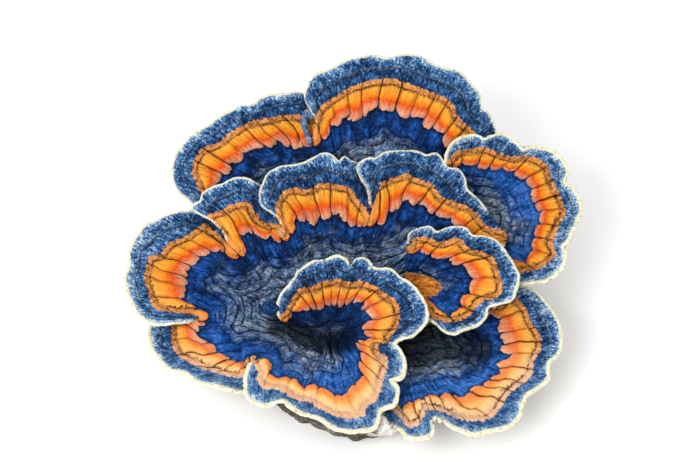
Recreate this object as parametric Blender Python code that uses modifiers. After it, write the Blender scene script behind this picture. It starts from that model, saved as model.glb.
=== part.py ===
"""A turkey tail rosette: wavy bracket caps that grow over each other from one foot, cut flat below.

Every cap is a thin sheet between its root, low in the middle of the cluster, and its rim. The rims
are read off the picture, as points (pixel across, pixel down, height above the cut in mm).
"""
import math

import bmesh
import bpy
import numpy as np
from mathutils import Vector
from mathutils.bvhtree import BVHTree

MM = 0.001

# Driving dimensions, in mm
CLUSTER_WIDTH = 114.0
RIM_THICKNESS = 2.0
ROOT_THICKNESS = 3.4
FOOT_RADIUS = 27.5
FOOT_FLARE = 0.3
FOOT_HEIGHT = 16.0
FOOT_SLANT = 0.15
FOOT_CENTRE = (1.0, 0.0)
FOOT_ARM_REACH = 9.0
FOOT_ARM_TURN = math.radians(45.0)
FOOT_ARM_SPREAD = math.radians(26.0)
FOOT_CLEARANCE = 0.5
GAP = 0.45

# The foot's lumps: how high in mm, how many round it, and where they start
FOOT_LUMPS = [(1.2, 3, 0.6), (0.8, 5, 2.0), (0.5, 11, 0.0)]

# How the picture looks at the cluster
PICTURE_SIZE = (700, 467)
CLUSTER_PIXELS = 456.0
MM_PER_PIXEL = CLUSTER_WIDTH / CLUSTER_PIXELS
VIEW_TILT = math.radians(50.0)
LENS = 100.0
SENSOR = 36.0
AIMED_AT = np.array((-1.25, 24.0, 14.5))

# Relief, in mm
PLATE_WIDTH = 4.4
PLATE_RISE = 0.55
PLATE_EDGE = 0.8
RIDGE_SPACING = 5.0
RIDGE_RISE = 0.3
RIDGE_WANDER = 0.08
RIDGE_WANDER_LENGTH = 9.0

# Meshing, in mm
RIM_STEP = 1.3
SHEET_ROWS = 48
FOLD_SPREAD = 12.0
FOLD_REACH = 22.0
VOXEL = 0.75
FOOT_TURNS = 48
FOOT_RINGS = 20
FOOT_WALL = 0.3
FOOT_FEELERS = [(x, y) for x in (-1.2, 0.0, 1.2) for y in (-1.2, 0.0, 1.2)]

# The big funnel, from the tip of its inner scroll, clockwise round to its tail
MAIN_RIM = [
    # inner scroll
    (286, 316, 14.5), (278, 311, 15), (278, 303, 16.5), (284, 291, 19), (293, 281, 21), (301, 270, 22.5),
    (314, 262, 23.5), (325, 261, 24), (336, 257, 24.5), (345, 260, 24.5), (350, 266, 24), (356, 260, 24.5),
    (366, 260, 24), (373, 268, 23.5), (390, 270, 23), (400, 278, 22.5), (412, 286, 22), (420, 297, 21),
    (426, 308, 20), (426, 319, 19), (419, 329, 18), (410, 336, 17.5), (401, 338, 17), (393, 344, 15.5),
    # right lobe
    (400, 350, 16), (404, 359, 15.5), (404, 369, 15), (401, 377, 15), (390, 380, 14), (397, 387, 14.5),
    (397, 397, 14), (394, 405, 14), (381, 410, 13), (378, 419, 13), (375, 427, 12.5),
    # front lobe
    (363, 430, 12.5), (349, 431, 12.5), (334, 427, 12.5), (318, 418, 12.5), (301, 412, 12.5),
    (290, 406, 13), (284, 400, 14.5), (277, 401, 14), (268, 405, 12.5), (256, 403, 12.5), (247, 396, 13),
    (245, 384, 14.5), (246, 372, 16), (250, 364, 17), (257, 361, 16),
    # hidden under the front lobe
    (255, 370, 13), (251, 379, 12.5),
    # lower left lobe
    (245, 388, 12.5), (236, 391, 12.5), (224, 388, 12.5), (213, 385, 12.5), (200, 382, 13), (190, 376, 13),
    (183, 372, 13.5), (171, 370, 13.5), (160, 360, 14), (153, 349, 14.5), (150, 337, 14.5), (151, 327, 14.5),
    # hidden under the left lobe
    (162, 322, 14.5), (180, 320, 15),
    # left lobe
    (197, 319, 16.5), (186, 321, 18.5), (172, 323, 19), (158, 324, 19), (146, 320, 19), (136, 311, 19),
    (131, 300, 19), (127, 288, 19), (125, 278, 19.5), (129, 267, 20), (129, 256, 20.5), (131, 244, 21),
    (137, 234, 21.5), (146, 225, 22), (155, 221, 22), (165, 216, 22.5), (178, 212, 22.5), (190, 212, 22),
    # hidden under the upper left lobe
    (205, 222, 20.5), (218, 234, 20), (230, 245, 20.5),
    # upper left lobe
    (223, 231, 23), (212, 220, 23.5), (200, 214, 24), (191, 207, 24.5), (200, 201, 25), (204, 192, 26),
    (212, 187, 26.5), (224, 184, 27), (233, 179, 27.5), (244, 178, 27.5), (254, 182, 27.5), (260, 189, 26.5),
    # hidden under the middle lobe
    (266, 203, 23.5), (275, 216, 23), (284, 228, 22.5),
    # middle lobe
    (279, 218, 25), (270, 211, 25.5), (262, 205, 26), (260, 196, 27), (263, 184, 27.5), (269, 173, 28),
    (278, 168, 28.5), (292, 166, 29), (304, 164, 29), (313, 158, 29.5), (322, 154, 30), (332, 155, 30),
    (339, 162, 29), (344, 157, 29.5), (351, 161, 29), (358, 163, 28),
    # hidden under the right back lobe
    (364, 178, 25), (368, 194, 24), (371, 211, 23.5),
    # right back lobe and its tail
    (370, 200, 26), (368, 188, 27), (361, 177, 28), (358, 167, 29), (364, 160, 29.5), (376, 158, 30),
    (385, 153, 30), (396, 151, 30), (416, 152, 29.5), (427, 156, 29), (436, 154, 29), (442, 160, 28.5),
    (448, 168, 28), (458, 170, 27), (464, 178, 26), (467, 190, 25), (476, 197, 24), (484, 209, 23),
    (490, 222, 22), (496, 233, 21), (503, 243, 20), (508, 256, 18.5),
]
MAIN_ROOT = (330, 332, 7)

# The tall fan behind it, from its lower left corner clockwise to its right end
BACK_RIM = [
    (206, 205, 19.5), (196, 206, 20), (188, 199, 21), (179, 192, 22), (174, 183, 23.5), (172, 170, 25),
    (174, 158, 26.5), (179, 149, 28), (187, 140, 29), (198, 131, 30), (210, 125, 31), (220, 117, 32),
    (230, 112, 32.5), (241, 106, 33.5), (252, 105, 34), (262, 98, 34.5), (272, 94, 35), (284, 94, 35),
    (296, 92, 35), (303, 95, 34.5),
    # hidden under the taller lobe
    (307, 108, 32), (309, 122, 30), (311, 136, 28.5),
    # taller lobe
    (317, 116, 33), (309, 108, 35), (305, 99, 36.5), (307, 88, 38), (312, 79, 39), (320, 73, 39.5),
    (331, 69, 40), (341, 63, 41), (352, 59, 41.5), (364, 57, 42), (376, 56, 42), (387, 58, 42), (398, 56, 42),
    (412, 55, 42), (424, 58, 41.5), (434, 65, 41), (444, 69, 40.5), (456, 72, 40), (466, 79, 39),
    (474, 88, 37.5), (480, 97, 36), (480, 107, 34.5), (489, 115, 32.5), (493, 124, 30.5), (497, 134, 28),
    # hidden behind the right cap
    (501, 146, 25), (499, 160, 22),
]
BACK_ROOT = (357, 242, 12)

# The round fan on the right
RIGHT_RIM = [
    (446, 168, 27), (447, 156, 29), (451, 145, 30.5), (459, 138, 31), (470, 135, 31), (479, 136, 31),
    (484, 139, 30.5), (492, 136, 30.5), (502, 134, 30.5), (511, 139, 30), (518, 145, 29.5), (524, 150, 29),
    (531, 147, 29), (543, 148, 29), (555, 153, 28.5), (564, 162, 28), (568, 173, 27.5), (564, 182, 27),
    (573, 188, 26.5), (579, 198, 26), (581, 209, 25.5), (577, 220, 25), (573, 230, 24.5), (568, 241, 24),
    (562, 246, 23.5), (566, 255, 23), (562, 267, 22), (553, 276, 21), (541, 281, 20.5), (526, 283, 20),
    (510, 284, 19), (500, 282, 18),
]
RIGHT_ROOT = (463, 222, 13)

# The small fan that grows out of the big funnel, next to its scroll
SMALL_RIM = [
    (408, 243, 20), (411, 232, 22.5), (419, 228, 24), (429, 227, 24), (437, 232, 24), (445, 229, 24.5),
    (456, 227, 25), (466, 229, 25), (473, 236, 24.5), (483, 236, 25), (493, 239, 25), (501, 245, 25),
    (508, 255, 24.5), (514, 266, 24), (518, 276, 23.5), (516, 288, 22.5), (511, 299, 21.5), (500, 303, 20.5),
    (488, 307, 19.5), (486, 316, 18.5), (478, 324, 18), (466, 328, 18), (453, 333, 17.5), (443, 329, 17.5),
    (434, 322, 17.5), (426, 316, 17), (425, 307, 16.5),
]
SMALL_ROOT = (404, 286, 15)

# The low fan in front on the right
LOWER_RIM = [
    (494, 308, 14.5), (504, 293, 16), (516, 287, 17), (526, 288, 17), (536, 293, 16.5), (546, 303, 16),
    (553, 313, 16), (559, 324, 15.5), (561, 336, 15), (561, 347, 14.5), (556, 356, 14.5), (549, 362, 14.5),
    (549, 373, 14), (546, 381, 13.5), (538, 388, 13.5), (528, 394, 13.5), (523, 403, 13), (519, 416, 12.5),
    (510, 425, 12), (499, 429, 12), (487, 431, 12), (474, 434, 12), (461, 431, 12), (451, 426, 12.5),
    (444, 420, 14), (436, 418, 14.5), (431, 423, 13), (435, 430, 11.5), (430, 436, 11), (419, 438, 11),
    (406, 436, 11), (400, 429, 10.5),
    # hidden under the front lobe
    (390, 424, 9), (378, 414, 8),
]
LOWER_ROOT = (392, 340, 7)


def remove_startup_objects():
    for obj in list(bpy.data.objects):
        bpy.data.objects.remove(obj)


def new_collection(name):
    made = bpy.data.collections.new(name)
    bpy.context.scene.collection.children.link(made)
    return made


def material(name, colour, roughness):
    made = bpy.data.materials.new(name)
    made.use_nodes = True
    shader = made.node_tree.nodes["Principled BSDF"]
    shader.inputs["Base Color"].default_value = (*colour, 1.0)
    shader.inputs["Roughness"].default_value = roughness
    shader.inputs["Metallic"].default_value = 0.0
    return made


def placed(seen):
    """The point in mm at that height which the picture shows at that pixel."""
    across, down, height = seen
    sine = math.sin(VIEW_TILT)
    cosine = math.cos(VIEW_TILT)
    distance = LENS / SENSOR * PICTURE_SIZE[0] * MM_PER_PIXEL
    eye = AIMED_AT + distance * np.array((0.0, -cosine, sine))
    per_pixel = SENSOR / PICTURE_SIZE[0]
    right = (across - PICTURE_SIZE[0] / 2) * per_pixel
    up = (PICTURE_SIZE[1] / 2 - down) * per_pixel
    ray = np.array((right, LENS * cosine + up * sine, up * cosine - LENS * sine))
    return eye + ray * (height - eye[2]) / ray[2]


def even_curve(points, step):
    """A smooth curve through the points (a centripetal Catmull-Rom), read every step mm."""
    points = np.array(points)
    ends = (2 * points[:1] - points[1:2], 2 * points[-1:] - points[-2:-1])
    padded = np.concatenate((ends[0], points, ends[1]))
    knots = np.concatenate(((0.0,), np.cumsum(np.linalg.norm(np.diff(padded, axis=0), axis=1) ** 0.5)))
    dense = []
    for i in range(1, len(padded) - 2):
        t0, t1, t2, t3 = knots[i - 1 : i + 3]
        p0, p1, p2, p3 = padded[i - 1 : i + 3]
        t = np.linspace(t1, t2, 12, endpoint=False)[:, None]
        a1 = (t1 - t) / (t1 - t0) * p0 + (t - t0) / (t1 - t0) * p1
        a2 = (t2 - t) / (t2 - t1) * p1 + (t - t1) / (t2 - t1) * p2
        a3 = (t3 - t) / (t3 - t2) * p2 + (t - t2) / (t3 - t2) * p3
        b1 = (t2 - t) / (t2 - t0) * a1 + (t - t0) / (t2 - t0) * a2
        b2 = (t3 - t) / (t3 - t1) * a2 + (t - t1) / (t3 - t1) * a3
        dense.append((t2 - t) / (t2 - t1) * b1 + (t - t1) / (t2 - t1) * b2)
    dense = np.concatenate((*dense, points[-1:]))
    along = np.concatenate(((0.0,), np.cumsum(np.linalg.norm(np.diff(dense, axis=0), axis=1))))
    even = np.linspace(0, along[-1], max(2, round(along[-1] / step) + 1))
    return np.stack([np.interp(even, along, dense[:, k]) for k in range(3)], axis=1)


def blurred(values, spread):
    """The values along a rim smoothed over that many samples, with the ends held."""
    reach = int(3 * spread) + 1
    weights = np.exp(-0.5 * (np.arange(-reach, reach + 1) / spread) ** 2)
    return np.convolve(np.pad(values, reach, mode="edge"), weights / weights.sum(), mode="valid")


def steady(angles):
    """Angles that run one way only, through the middle of each place where they turn back."""
    way = np.sign(angles[-1] - angles[0])
    turned = angles * way
    least = np.maximum.accumulate(turned)
    most = np.minimum.accumulate(turned[::-1])[::-1]
    return (least + most) / 2 * way


def smoothstep(low, high, x):
    t = np.clip((x - low) / (high - low), 0, 1)
    return t * t * (3 - 2 * t)


def sheet_points(rim, root, rows, bowl):
    """The cap's upper side as (column, row, xyz) in mm. The folds of the rim die out towards the root."""
    spread = FOLD_SPREAD / RIM_STEP
    out = rim[:, :2] - root[:2]
    angle = blurred(steady(np.unwrap(np.arctan2(out[:, 1], out[:, 0]))), spread)
    radius = blurred(np.hypot(out[:, 0], out[:, 1]), spread)
    height = blurred(rim[:, 2], spread)
    guide = np.stack((np.cos(angle), np.sin(angle)), axis=1) * radius[:, None]
    share = np.linspace(0.02, 1.0, rows)[None, :]
    fold = smoothstep(0, 1, 1 - (1 - share) * radius[:, None] / np.minimum(FOLD_REACH, 0.95 * radius)[:, None])
    plan = root[:2] + share[:, :, None] * guide[:, None, :] + fold[:, :, None] * (out - guide)[:, None, :]
    rise = root[2] + (height[:, None] - root[2]) * share**bowl + fold * (rim[:, 2] - height)[:, None]
    return np.concatenate((plan, rise[:, :, None]), axis=2)


def lifted_by_relief(points, band):
    """The points raised along the sheet's normal by the plates of the band and by the ridges inside it."""
    outside, width = band
    steps = np.linalg.norm(np.diff(points[:, ::-1], axis=1), axis=2)
    from_rim = np.concatenate((np.zeros((len(points), 1)), np.cumsum(steps, axis=1)), axis=1)[:, ::-1]
    along = np.arange(len(points))[:, None] * RIM_STEP
    beat = np.abs(np.sin(np.pi * along / PLATE_WIDTH))
    inner_edge = outside + width * (0.8 + 0.2 * beat)
    on_band = smoothstep(outside - PLATE_EDGE, outside + PLATE_EDGE, from_rim)
    on_band = on_band * (1 - smoothstep(inner_edge - PLATE_EDGE, inner_edge + PLATE_EDGE, from_rim))
    inside = smoothstep(outside + width, outside + width + 3, from_rim)
    inside = inside * smoothstep(2, 12, from_rim[:, :1] - from_rim)
    wander = RIDGE_WANDER * np.sin(along / RIDGE_WANDER_LENGTH)
    ridges = np.sin(2 * np.pi * (from_rim / RIDGE_SPACING + wander))
    lift = PLATE_RISE * on_band * (0.4 + 0.6 * beat) + RIDGE_RISE * inside * ridges
    along_rim = np.gradient(points, axis=0)
    outwards = np.gradient(points, axis=1)
    normal = np.cross(outwards, along_rim)
    length = np.linalg.norm(normal, axis=2, keepdims=True)
    normal = normal / np.maximum(length, 1e-9) * np.where(normal[:, :, 2:] < 0, -1, 1)
    return points + normal * lift[:, :, None]


def open_sheet(name, points):
    """A grid object in the shape of the points, with a group that holds how thick each place is."""
    columns, rows = points.shape[:2]
    shape = bmesh.new()
    bmesh.ops.create_grid(shape, x_segments=columns - 1, y_segments=rows - 1, size=1.0)
    shape.verts.ensure_lookup_table()
    for i, vert in enumerate(shape.verts):
        vert.co = Vector(points[i % columns, i // columns]) * MM
    bmesh.ops.recalc_face_normals(shape, faces=shape.faces)
    if sum(face.normal.z * face.calc_area() for face in shape.faces) < 0:
        bmesh.ops.reverse_faces(shape, faces=shape.faces)
    mesh = bpy.data.meshes.new(name)
    shape.to_mesh(mesh)
    shape.free()
    obj = bpy.data.objects.new(name, mesh)
    thick = obj.vertex_groups.new(name="thickness")
    for row in range(rows):
        toward_root = 1 - row / (rows - 1)
        share = (RIM_THICKNESS + (ROOT_THICKNESS - RIM_THICKNESS) * toward_root) / ROOT_THICKNESS
        thick.add(range(row * columns, (row + 1) * columns), share, "REPLACE")
    return obj


def replace_by_mesh(obj):
    """Work the object's modifiers into its mesh."""
    bpy.context.view_layer.update()
    graph = bpy.context.evaluated_depsgraph_get()
    mesh = bpy.data.meshes.new_from_object(obj.evaluated_get(graph), depsgraph=graph)
    obj.modifiers.clear()
    obj.vertex_groups.clear()
    obj.data = mesh


def keep_largest_body(obj):
    """Drop the crumbs that a cut leaves."""
    shape = bmesh.new()
    shape.from_mesh(obj.data)
    left = set(shape.verts)
    bodies = []
    while left:
        body = {left.pop()}
        edge = set(body)
        while edge:
            edge = {e.other_vert(v) for v in edge for e in v.link_edges} - body
            body |= edge
        left -= body
        bodies.append(body)
    largest = max(bodies, key=len)
    bmesh.ops.delete(shape, geom=[v for v in shape.verts if v not in largest], context="VERTS")
    shape.to_mesh(obj.data)
    shape.free()


def cap(name, collection, seen_rim, seen_root, bowl, band, triangles):
    """One fan: an open sheet made solid, then remeshed so that its folds melt into one body."""
    rim = even_curve([placed(seen) for seen in seen_rim], RIM_STEP)
    points = sheet_points(rim, placed(seen_root), SHEET_ROWS, bowl)
    obj = open_sheet(name, lifted_by_relief(points, band))
    collection.objects.link(obj)
    solid = obj.modifiers.new("Thickness", "SOLIDIFY")
    solid.thickness = ROOT_THICKNESS * MM
    solid.offset = -1.0
    solid.vertex_group = "thickness"
    melt(obj, triangles)
    return obj


def melt(obj, triangles):
    """Make one clean body of what lies in the object, with about that many triangles."""
    remesh = obj.modifiers.new("One body", "REMESH")
    remesh.mode = "VOXEL"
    remesh.voxel_size = VOXEL * MM
    replace_by_mesh(obj)
    keep_largest_body(obj)
    obj.data.calc_loop_triangles()
    fewer = obj.modifiers.new("Fewer faces", "DECIMATE")
    fewer.ratio = min(1.0, triangles / len(obj.data.loop_triangles))
    replace_by_mesh(obj)


def grown_copy(obj, cutters):
    """A cutter: the body with its skin moved out by the gap that neighbours keep."""
    grown = bpy.data.objects.new(obj.name + "_cutter", obj.data.copy())
    cutters.objects.link(grown)
    shape = bmesh.new()
    shape.from_mesh(grown.data)
    shape.normal_update()
    moved = [vert.co + vert.normal * GAP * MM for vert in shape.verts]
    for vert, place in zip(shape.verts, moved):
        vert.co = place
    shape.to_mesh(grown.data)
    shape.free()
    grown.hide_render = True
    grown.display_type = "WIRE"
    return grown


def cut_by(obj, cutters):
    for cutter in cutters:
        cut = obj.modifiers.new("Cut by " + cutter.name, "BOOLEAN")
        cut.operation = "DIFFERENCE"
        cut.solver = "MANIFOLD"
        cut.object = cutter
    replace_by_mesh(obj)
    keep_largest_body(obj)


def foot_radius(angle):
    """The cut's outline: a lumpy ring with an arm towards the right cap's root."""
    lumps = sum(rise * math.sin(count * angle + start) for rise, count, start in FOOT_LUMPS)
    arm = FOOT_ARM_REACH * math.exp(-(((angle - FOOT_ARM_TURN) / FOOT_ARM_SPREAD) ** 2))
    return FOOT_RADIUS + lumps + arm


def foot_top(trees, across, back):
    """The height where the foot meets the lowest cap above that point, in mm."""
    top = FOOT_HEIGHT + FOOT_SLANT * back
    for step in FOOT_FEELERS:
        start = Vector((across + step[0], back + step[1], -1.0)) * MM
        for tree in trees:
            hit = tree.ray_cast(start, Vector((0, 0, 1)))[0]
            if hit:
                top = min(top, hit.z / MM - FOOT_CLEARANCE)
    return top


def foot(collection, caps):
    """The tissue that all caps grow from.

    A ball's upper half is pressed up against the caps' undersides, and its lower half makes the wall and the cut.
    """
    trees = [BVHTree.FromObject(body, bpy.context.evaluated_depsgraph_get()) for body in caps]
    shape = bmesh.new()
    bmesh.ops.create_uvsphere(shape, u_segments=FOOT_TURNS, v_segments=FOOT_RINGS, radius=1.0)
    for vert in shape.verts:
        angle = math.atan2(vert.co.y, vert.co.x)
        latitude = 2 * math.asin(max(-1.0, min(1.0, vert.co.z))) / math.pi
        if latitude >= 0:
            reach = (1 - latitude) * (foot_radius(angle) + FOOT_FLARE * FOOT_HEIGHT)
        else:
            reach = foot_radius(angle) * min(1.0, (1 + latitude) / (1 - FOOT_WALL))
        across = FOOT_CENTRE[0] + reach * math.cos(angle)
        back = FOOT_CENTRE[1] + reach * math.sin(angle)
        height = foot_top(trees, across, back) * smoothstep(-FOOT_WALL, 0, latitude)
        vert.co = Vector((across, back, height)) * MM
    mesh = bpy.data.meshes.new("foot")
    shape.to_mesh(mesh)
    shape.free()
    obj = bpy.data.objects.new("foot", mesh)
    collection.objects.link(obj)
    return obj


def main():
    remove_startup_objects()
    rosette = new_collection("turkey_tail_rosette")
    cutters = new_collection("cutters")
    skin = material("cap_skin", (0.10, 0.19, 0.42), 0.85)
    tissue = material("foot_tissue", (0.20, 0.18, 0.15), 0.9)

    # The band of plates lies that far from the rim and is that wide, in mm
    main_cap = cap("main_cap", rosette, MAIN_RIM, MAIN_ROOT, bowl=1.3, band=(5.8, 8.5), triangles=3600)
    small_cap = cap("small_cap", rosette, SMALL_RIM, SMALL_ROOT, bowl=1.1, band=(3.8, 5.8), triangles=800)
    back_cap = cap("back_cap", rosette, BACK_RIM, BACK_ROOT, bowl=1.2, band=(7.5, 8.5), triangles=1400)
    right_cap = cap("right_cap", rosette, RIGHT_RIM, RIGHT_ROOT, bowl=1.2, band=(4.8, 6.5), triangles=900)
    lower_cap = cap("lower_cap", rosette, LOWER_RIM, LOWER_ROOT, bowl=1.4, band=(5.2, 7.2), triangles=1000)

    caps = (main_cap, small_cap, right_cap, back_cap, lower_cap)
    around = []
    for body in caps:
        cut_by(body, around)
        around.append(grown_copy(body, cutters))
    base = foot(rosette, caps)
    cut_by(base, around)
    for cutter in around:
        bpy.data.objects.remove(cutter)
    bpy.data.collections.remove(cutters)

    for body in caps:
        body.data.materials.append(skin)
        body.data.shade_smooth()
    base.data.materials.append(tissue)


main()
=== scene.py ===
"""The looks of the turkey tail rosette: each cap as a fine sheet with zones, plates, cracks and folds.

The rims repeat those of the solids. They and the edges of the orange zone are read off the picture, as
points (pixel across, pixel down), with the rims' heights above the cut in mm. Lengths are in mm.
"""
import math
from collections import namedtuple

import bpy
import numpy as np
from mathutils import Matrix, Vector
from mathutils.bvhtree import BVHTree


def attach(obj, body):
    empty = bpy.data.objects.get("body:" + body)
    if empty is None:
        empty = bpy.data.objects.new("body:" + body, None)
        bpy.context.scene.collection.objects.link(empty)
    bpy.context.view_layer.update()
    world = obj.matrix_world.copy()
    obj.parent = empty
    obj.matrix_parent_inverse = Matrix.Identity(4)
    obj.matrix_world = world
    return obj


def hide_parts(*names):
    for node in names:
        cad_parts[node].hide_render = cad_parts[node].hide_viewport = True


MM = 0.001

# How the picture looks at the cluster
CLUSTER_WIDTH = 114.0
CLUSTER_PIXELS = 456.0
MM_PER_PIXEL = CLUSTER_WIDTH / CLUSTER_PIXELS
PICTURE_SIZE = (700, 467)
VIEW_TILT = math.radians(50.0)
SINE = math.sin(VIEW_TILT)
COSINE = math.cos(VIEW_TILT)
LENS = 100.0
SENSOR = 36.0
LENS_PIXELS = LENS / SENSOR * PICTURE_SIZE[0]
AIMED_AT = np.array((-1.25, 24.0, 14.5))
EYE = AIMED_AT + LENS_PIXELS * MM_PER_PIXEL * np.array((0.0, -COSINE, SINE))

# Sheets
RIM_STEP = 0.6
PALM_ROWS = 36
LOBE_ROWS = 40
UNDER_EVERY = 4
UNDER_ROWS = [*range(0, PALM_ROWS, UNDER_EVERY), *range(PALM_ROWS, PALM_ROWS + LOBE_ROWS + 1, UNDER_EVERY)]
LIP_RADIUS = 0.33
LIP_TURNS = np.radians((60, 30, 0, -30, -60))
ROOT_THICKNESS = 3.2
THICKENING_REACH = 30.0
FOLD_SPREAD = 12.0
GUIDE_SPREAD = 5.0
ROOT_RADIUS = 0.05
PALM_START = 0.35
PALM_SHARE = 0.6
WAIST_SHARE = 0.85
LEAST_TURN = 0.05
EDGE_WANDER = 0.35
EDGE_WAVES = 0.30
CHUNKS = 8

# Zones
RIM_WIDTH = 0.16
TAN_WIDTH = 1.4
PLATE_WIDTHS = (2.8, 5.4)
LEAST_BAND = 2.0
RING_WIDTH = 2.3
RING_WANDER = 1.3
PAD_LENGTH = 3.4
PAD_SIZE = 3.7
CLEFT_REACH = (3.6, 1.4)
TIP_REACH = 1.6
BARE_REACH = 3.0
BARE_DEPTH = 1.5
NO_ISLET = -5.0

# Where the front and the sides go pale, partly as painted light, and where the front goes calm, as x or y
# from none to full
FRONT = (15.0, -25.0)
CALM_FRONT = (-14.0, -24.0)
CALM_LEFT = (14.0, 8.0)
PALE_SIDES = (30.0, 55.0)

# Petal-shaped ends of the plates, as the mesh and the skin both draw them
GOLDEN = 0.618034
PLASTIC = 0.754878
PAD_OFFSET = 0.37
PETAL_LENGTH = 1.2
PETAL_MIDDLE = 0.75
PETAL_CHANCE = 0.7
SPLIT_CHANCE = (0.5, 0.6)
SPLIT_LENGTH = 0.45
CALM_PETALS = 0.4
CALM_CUTS = 0.8

# Relief of the upper side
WAVES = 0.35
FUZZ = 0.12
GROOVE = 0.14
RIDGE = 0.20
SEAM = 0.30
PARTING = 0.45
FOLD = 1.35
ISLET_HEIGHT = 0.4

# Lumps
LUMP_STEP = 0.25
LUMP_SIDES = 16

# Foot: a wall with waves, each (height, how many round the foot, start), and an arm to the back right
FOOT_CENTRE = (1.0, 0.0)
FOOT_RADIUS = 26.3
FOOT_FLARE = 6.0
FOOT_HEIGHT = 16.0
FOOT_SLANT = 0.15
FOOT_ARM_REACH = 9.0
FOOT_ARM_TURN = math.radians(45.0)
FOOT_ARM_SPREAD = math.radians(26.0)
FOOT_WAVES = ((1.2, 3, 0.6), (0.8, 5, 2.0), (0.5, 11, 0.0), (0.35, 23, 1.0), (0.25, 38, 0.0))
FOOT_GAP = 0.3
FOOT_LEAST = 1.0
FOOT_TURNS = 240
FOOT_WALL_ROWS = 36
MYCELIUM = (8.5, -30.0, 6.5)
MYCELIUM_REACH = 9.0

# Tones, as (place on the ramp, red, green, blue), with the colours as a screen shows them
VELVET = (
    (0.36, 9, 22, 44), (0.46, 24, 54, 92), (0.54, 50, 92, 142), (0.62, 106, 146, 186), (0.74, 212, 220, 216),
)
TAN = ((0.36, 86, 50, 26), (0.46, 164, 102, 50), (0.55, 212, 148, 84), (0.68, 244, 200, 146))
ORANGE = (
    (0.00, 214, 140, 70), (0.12, 248, 176, 66), (0.34, 248, 160, 48), (0.50, 244, 122, 28),
    (0.60, 234, 88, 24), (0.70, 228, 120, 78), (0.84, 228, 148, 114), (1.00, 236, 176, 142),
)
PEACH = (
    (0.00, 246, 208, 164), (0.30, 255, 208, 138), (0.55, 254, 156, 58), (0.76, 246, 116, 28),
    (0.90, 246, 124, 50), (1.00, 252, 180, 134),
)
PLATE_SHADE = ((0.34, 128, 84, 70), (0.46, 214, 190, 176), (0.58, 255, 255, 255))
ROYAL = ((0.36, 7, 20, 46), (0.46, 14, 44, 92), (0.55, 24, 76, 154), (0.70, 70, 128, 208))
GREY = (
    (0.34, 10, 16, 28), (0.42, 32, 50, 76), (0.50, 66, 96, 136),
    (0.59, 110, 138, 174), (0.70, 184, 196, 206),
)
ISLET_TONES = ((0.36, 150, 78, 24), (0.48, 238, 138, 44), (0.60, 252, 178, 88))
CREAM = ((0.34, 176, 166, 126), (0.46, 226, 220, 186), (0.60, 246, 243, 222))
PORED = ((0.34, 104, 96, 82), (0.47, 158, 149, 130), (0.58, 196, 188, 166), (0.70, 226, 220, 200))
TISSUE = ((0.34, 30, 27, 24), (0.46, 74, 68, 60), (0.56, 112, 104, 92), (0.68, 158, 150, 136))
CHALK = ((0.38, 150, 140, 128), (0.50, 224, 220, 212), (0.62, 246, 244, 238))
SLATE_LUMP = ((0.36, 20, 36, 62), (0.50, 74, 100, 140), (0.64, 168, 186, 208))
ROYAL_LUMP = ((0.36, 4, 14, 34), (0.50, 14, 42, 86), (0.66, 54, 96, 150))
TAN_LUMP = ((0.36, 110, 66, 36), (0.50, 198, 134, 84), (0.64, 234, 186, 142))

# Single colours
VELVET_LINE = (134, 130, 118)
VELVET_DARK_LINE = (9, 20, 38)
VELVET_CREASE = (10, 18, 34)
TAN_GLOW = (232, 140, 62)
TAN_AT_CLEFTS = (246, 154, 76)
TAN_IN_FRONT = (242, 198, 162)
# paler orange in front: partly the front's paler colour, partly painted light
ORANGE_PALE_AND_LIT_IN_FRONT = (255, 204, 140)
# painted shade along the sides of the plates
PLATE_SIDE_SHADE = (150, 70, 30)
PLATE_SEAM = (46, 24, 16)
PLATE_CRACK = (38, 20, 16)
ROYAL_DULL = (8, 22, 44)
GREY_EARTH = (112, 104, 94)
FOLD_GLEAM = (150, 174, 202)
# painted shade in the creases between the folds
FOLD_CREASE_SHADE = (6, 9, 16)
RAY_CRACK = (6, 10, 22)
# painted shade of the dark hollows under the scroll and the other caps
HOLLOW_SHADE = (7, 10, 17)
# painted shadow: the dark band that the petal ends cast on the blue within
PETAL_SHADOW = (6, 13, 34)
UNDER_BROWN = (70, 62, 52)
# painted shade on the underside along the hollow lines
UNDER_SHADE = (20, 20, 22)

# Each lobe's rim clockwise; its left side from the inner end of the cleft outwards, its right side inwards;
# and, without heights, the edge where its tan ridge starts and the scalloped inner edge of its orange plates
Lobe = namedtuple("Lobe", "rim outer inner left right", defaults=((), ()))
SCROLL = Lobe(
    rim=[
        (289, 321, 14), (283, 320, 14), (279, 313, 15), (278, 304, 16.5), (284, 291, 19), (293, 281, 21),
        (301, 270, 22.5), (314, 262, 23.5), (325, 261, 24), (336, 257, 24.5), (345, 260, 24.5),
        (350, 266, 24), (356, 260, 24.5), (366, 260, 24), (373, 268, 23.5), (390, 270, 23),
        (400, 278, 22.5), (412, 286, 22), (420, 297, 21), (426, 308, 20), (426, 319, 19), (419, 329, 18),
        (410, 336, 17.5), (401, 338, 17), (393, 344, 15.5),
    ],
    outer=[
        (277, 316), (284, 313), (288, 306), (292, 298), (301, 288), (315, 285), (322, 281), (337, 279),
        (352, 282), (360, 281), (376, 287), (387, 295), (397, 301), (400, 315), (397, 328), (390, 337),
    ],
    inner=[
        (290, 324), (290, 314), (300, 309), (315, 309), (327, 304), (334, 305), (349, 303), (358, 299),
        (366, 304), (363, 309), (371, 316), (368, 324), (365, 328), (366, 334), (369, 338),
    ],
)
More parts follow.
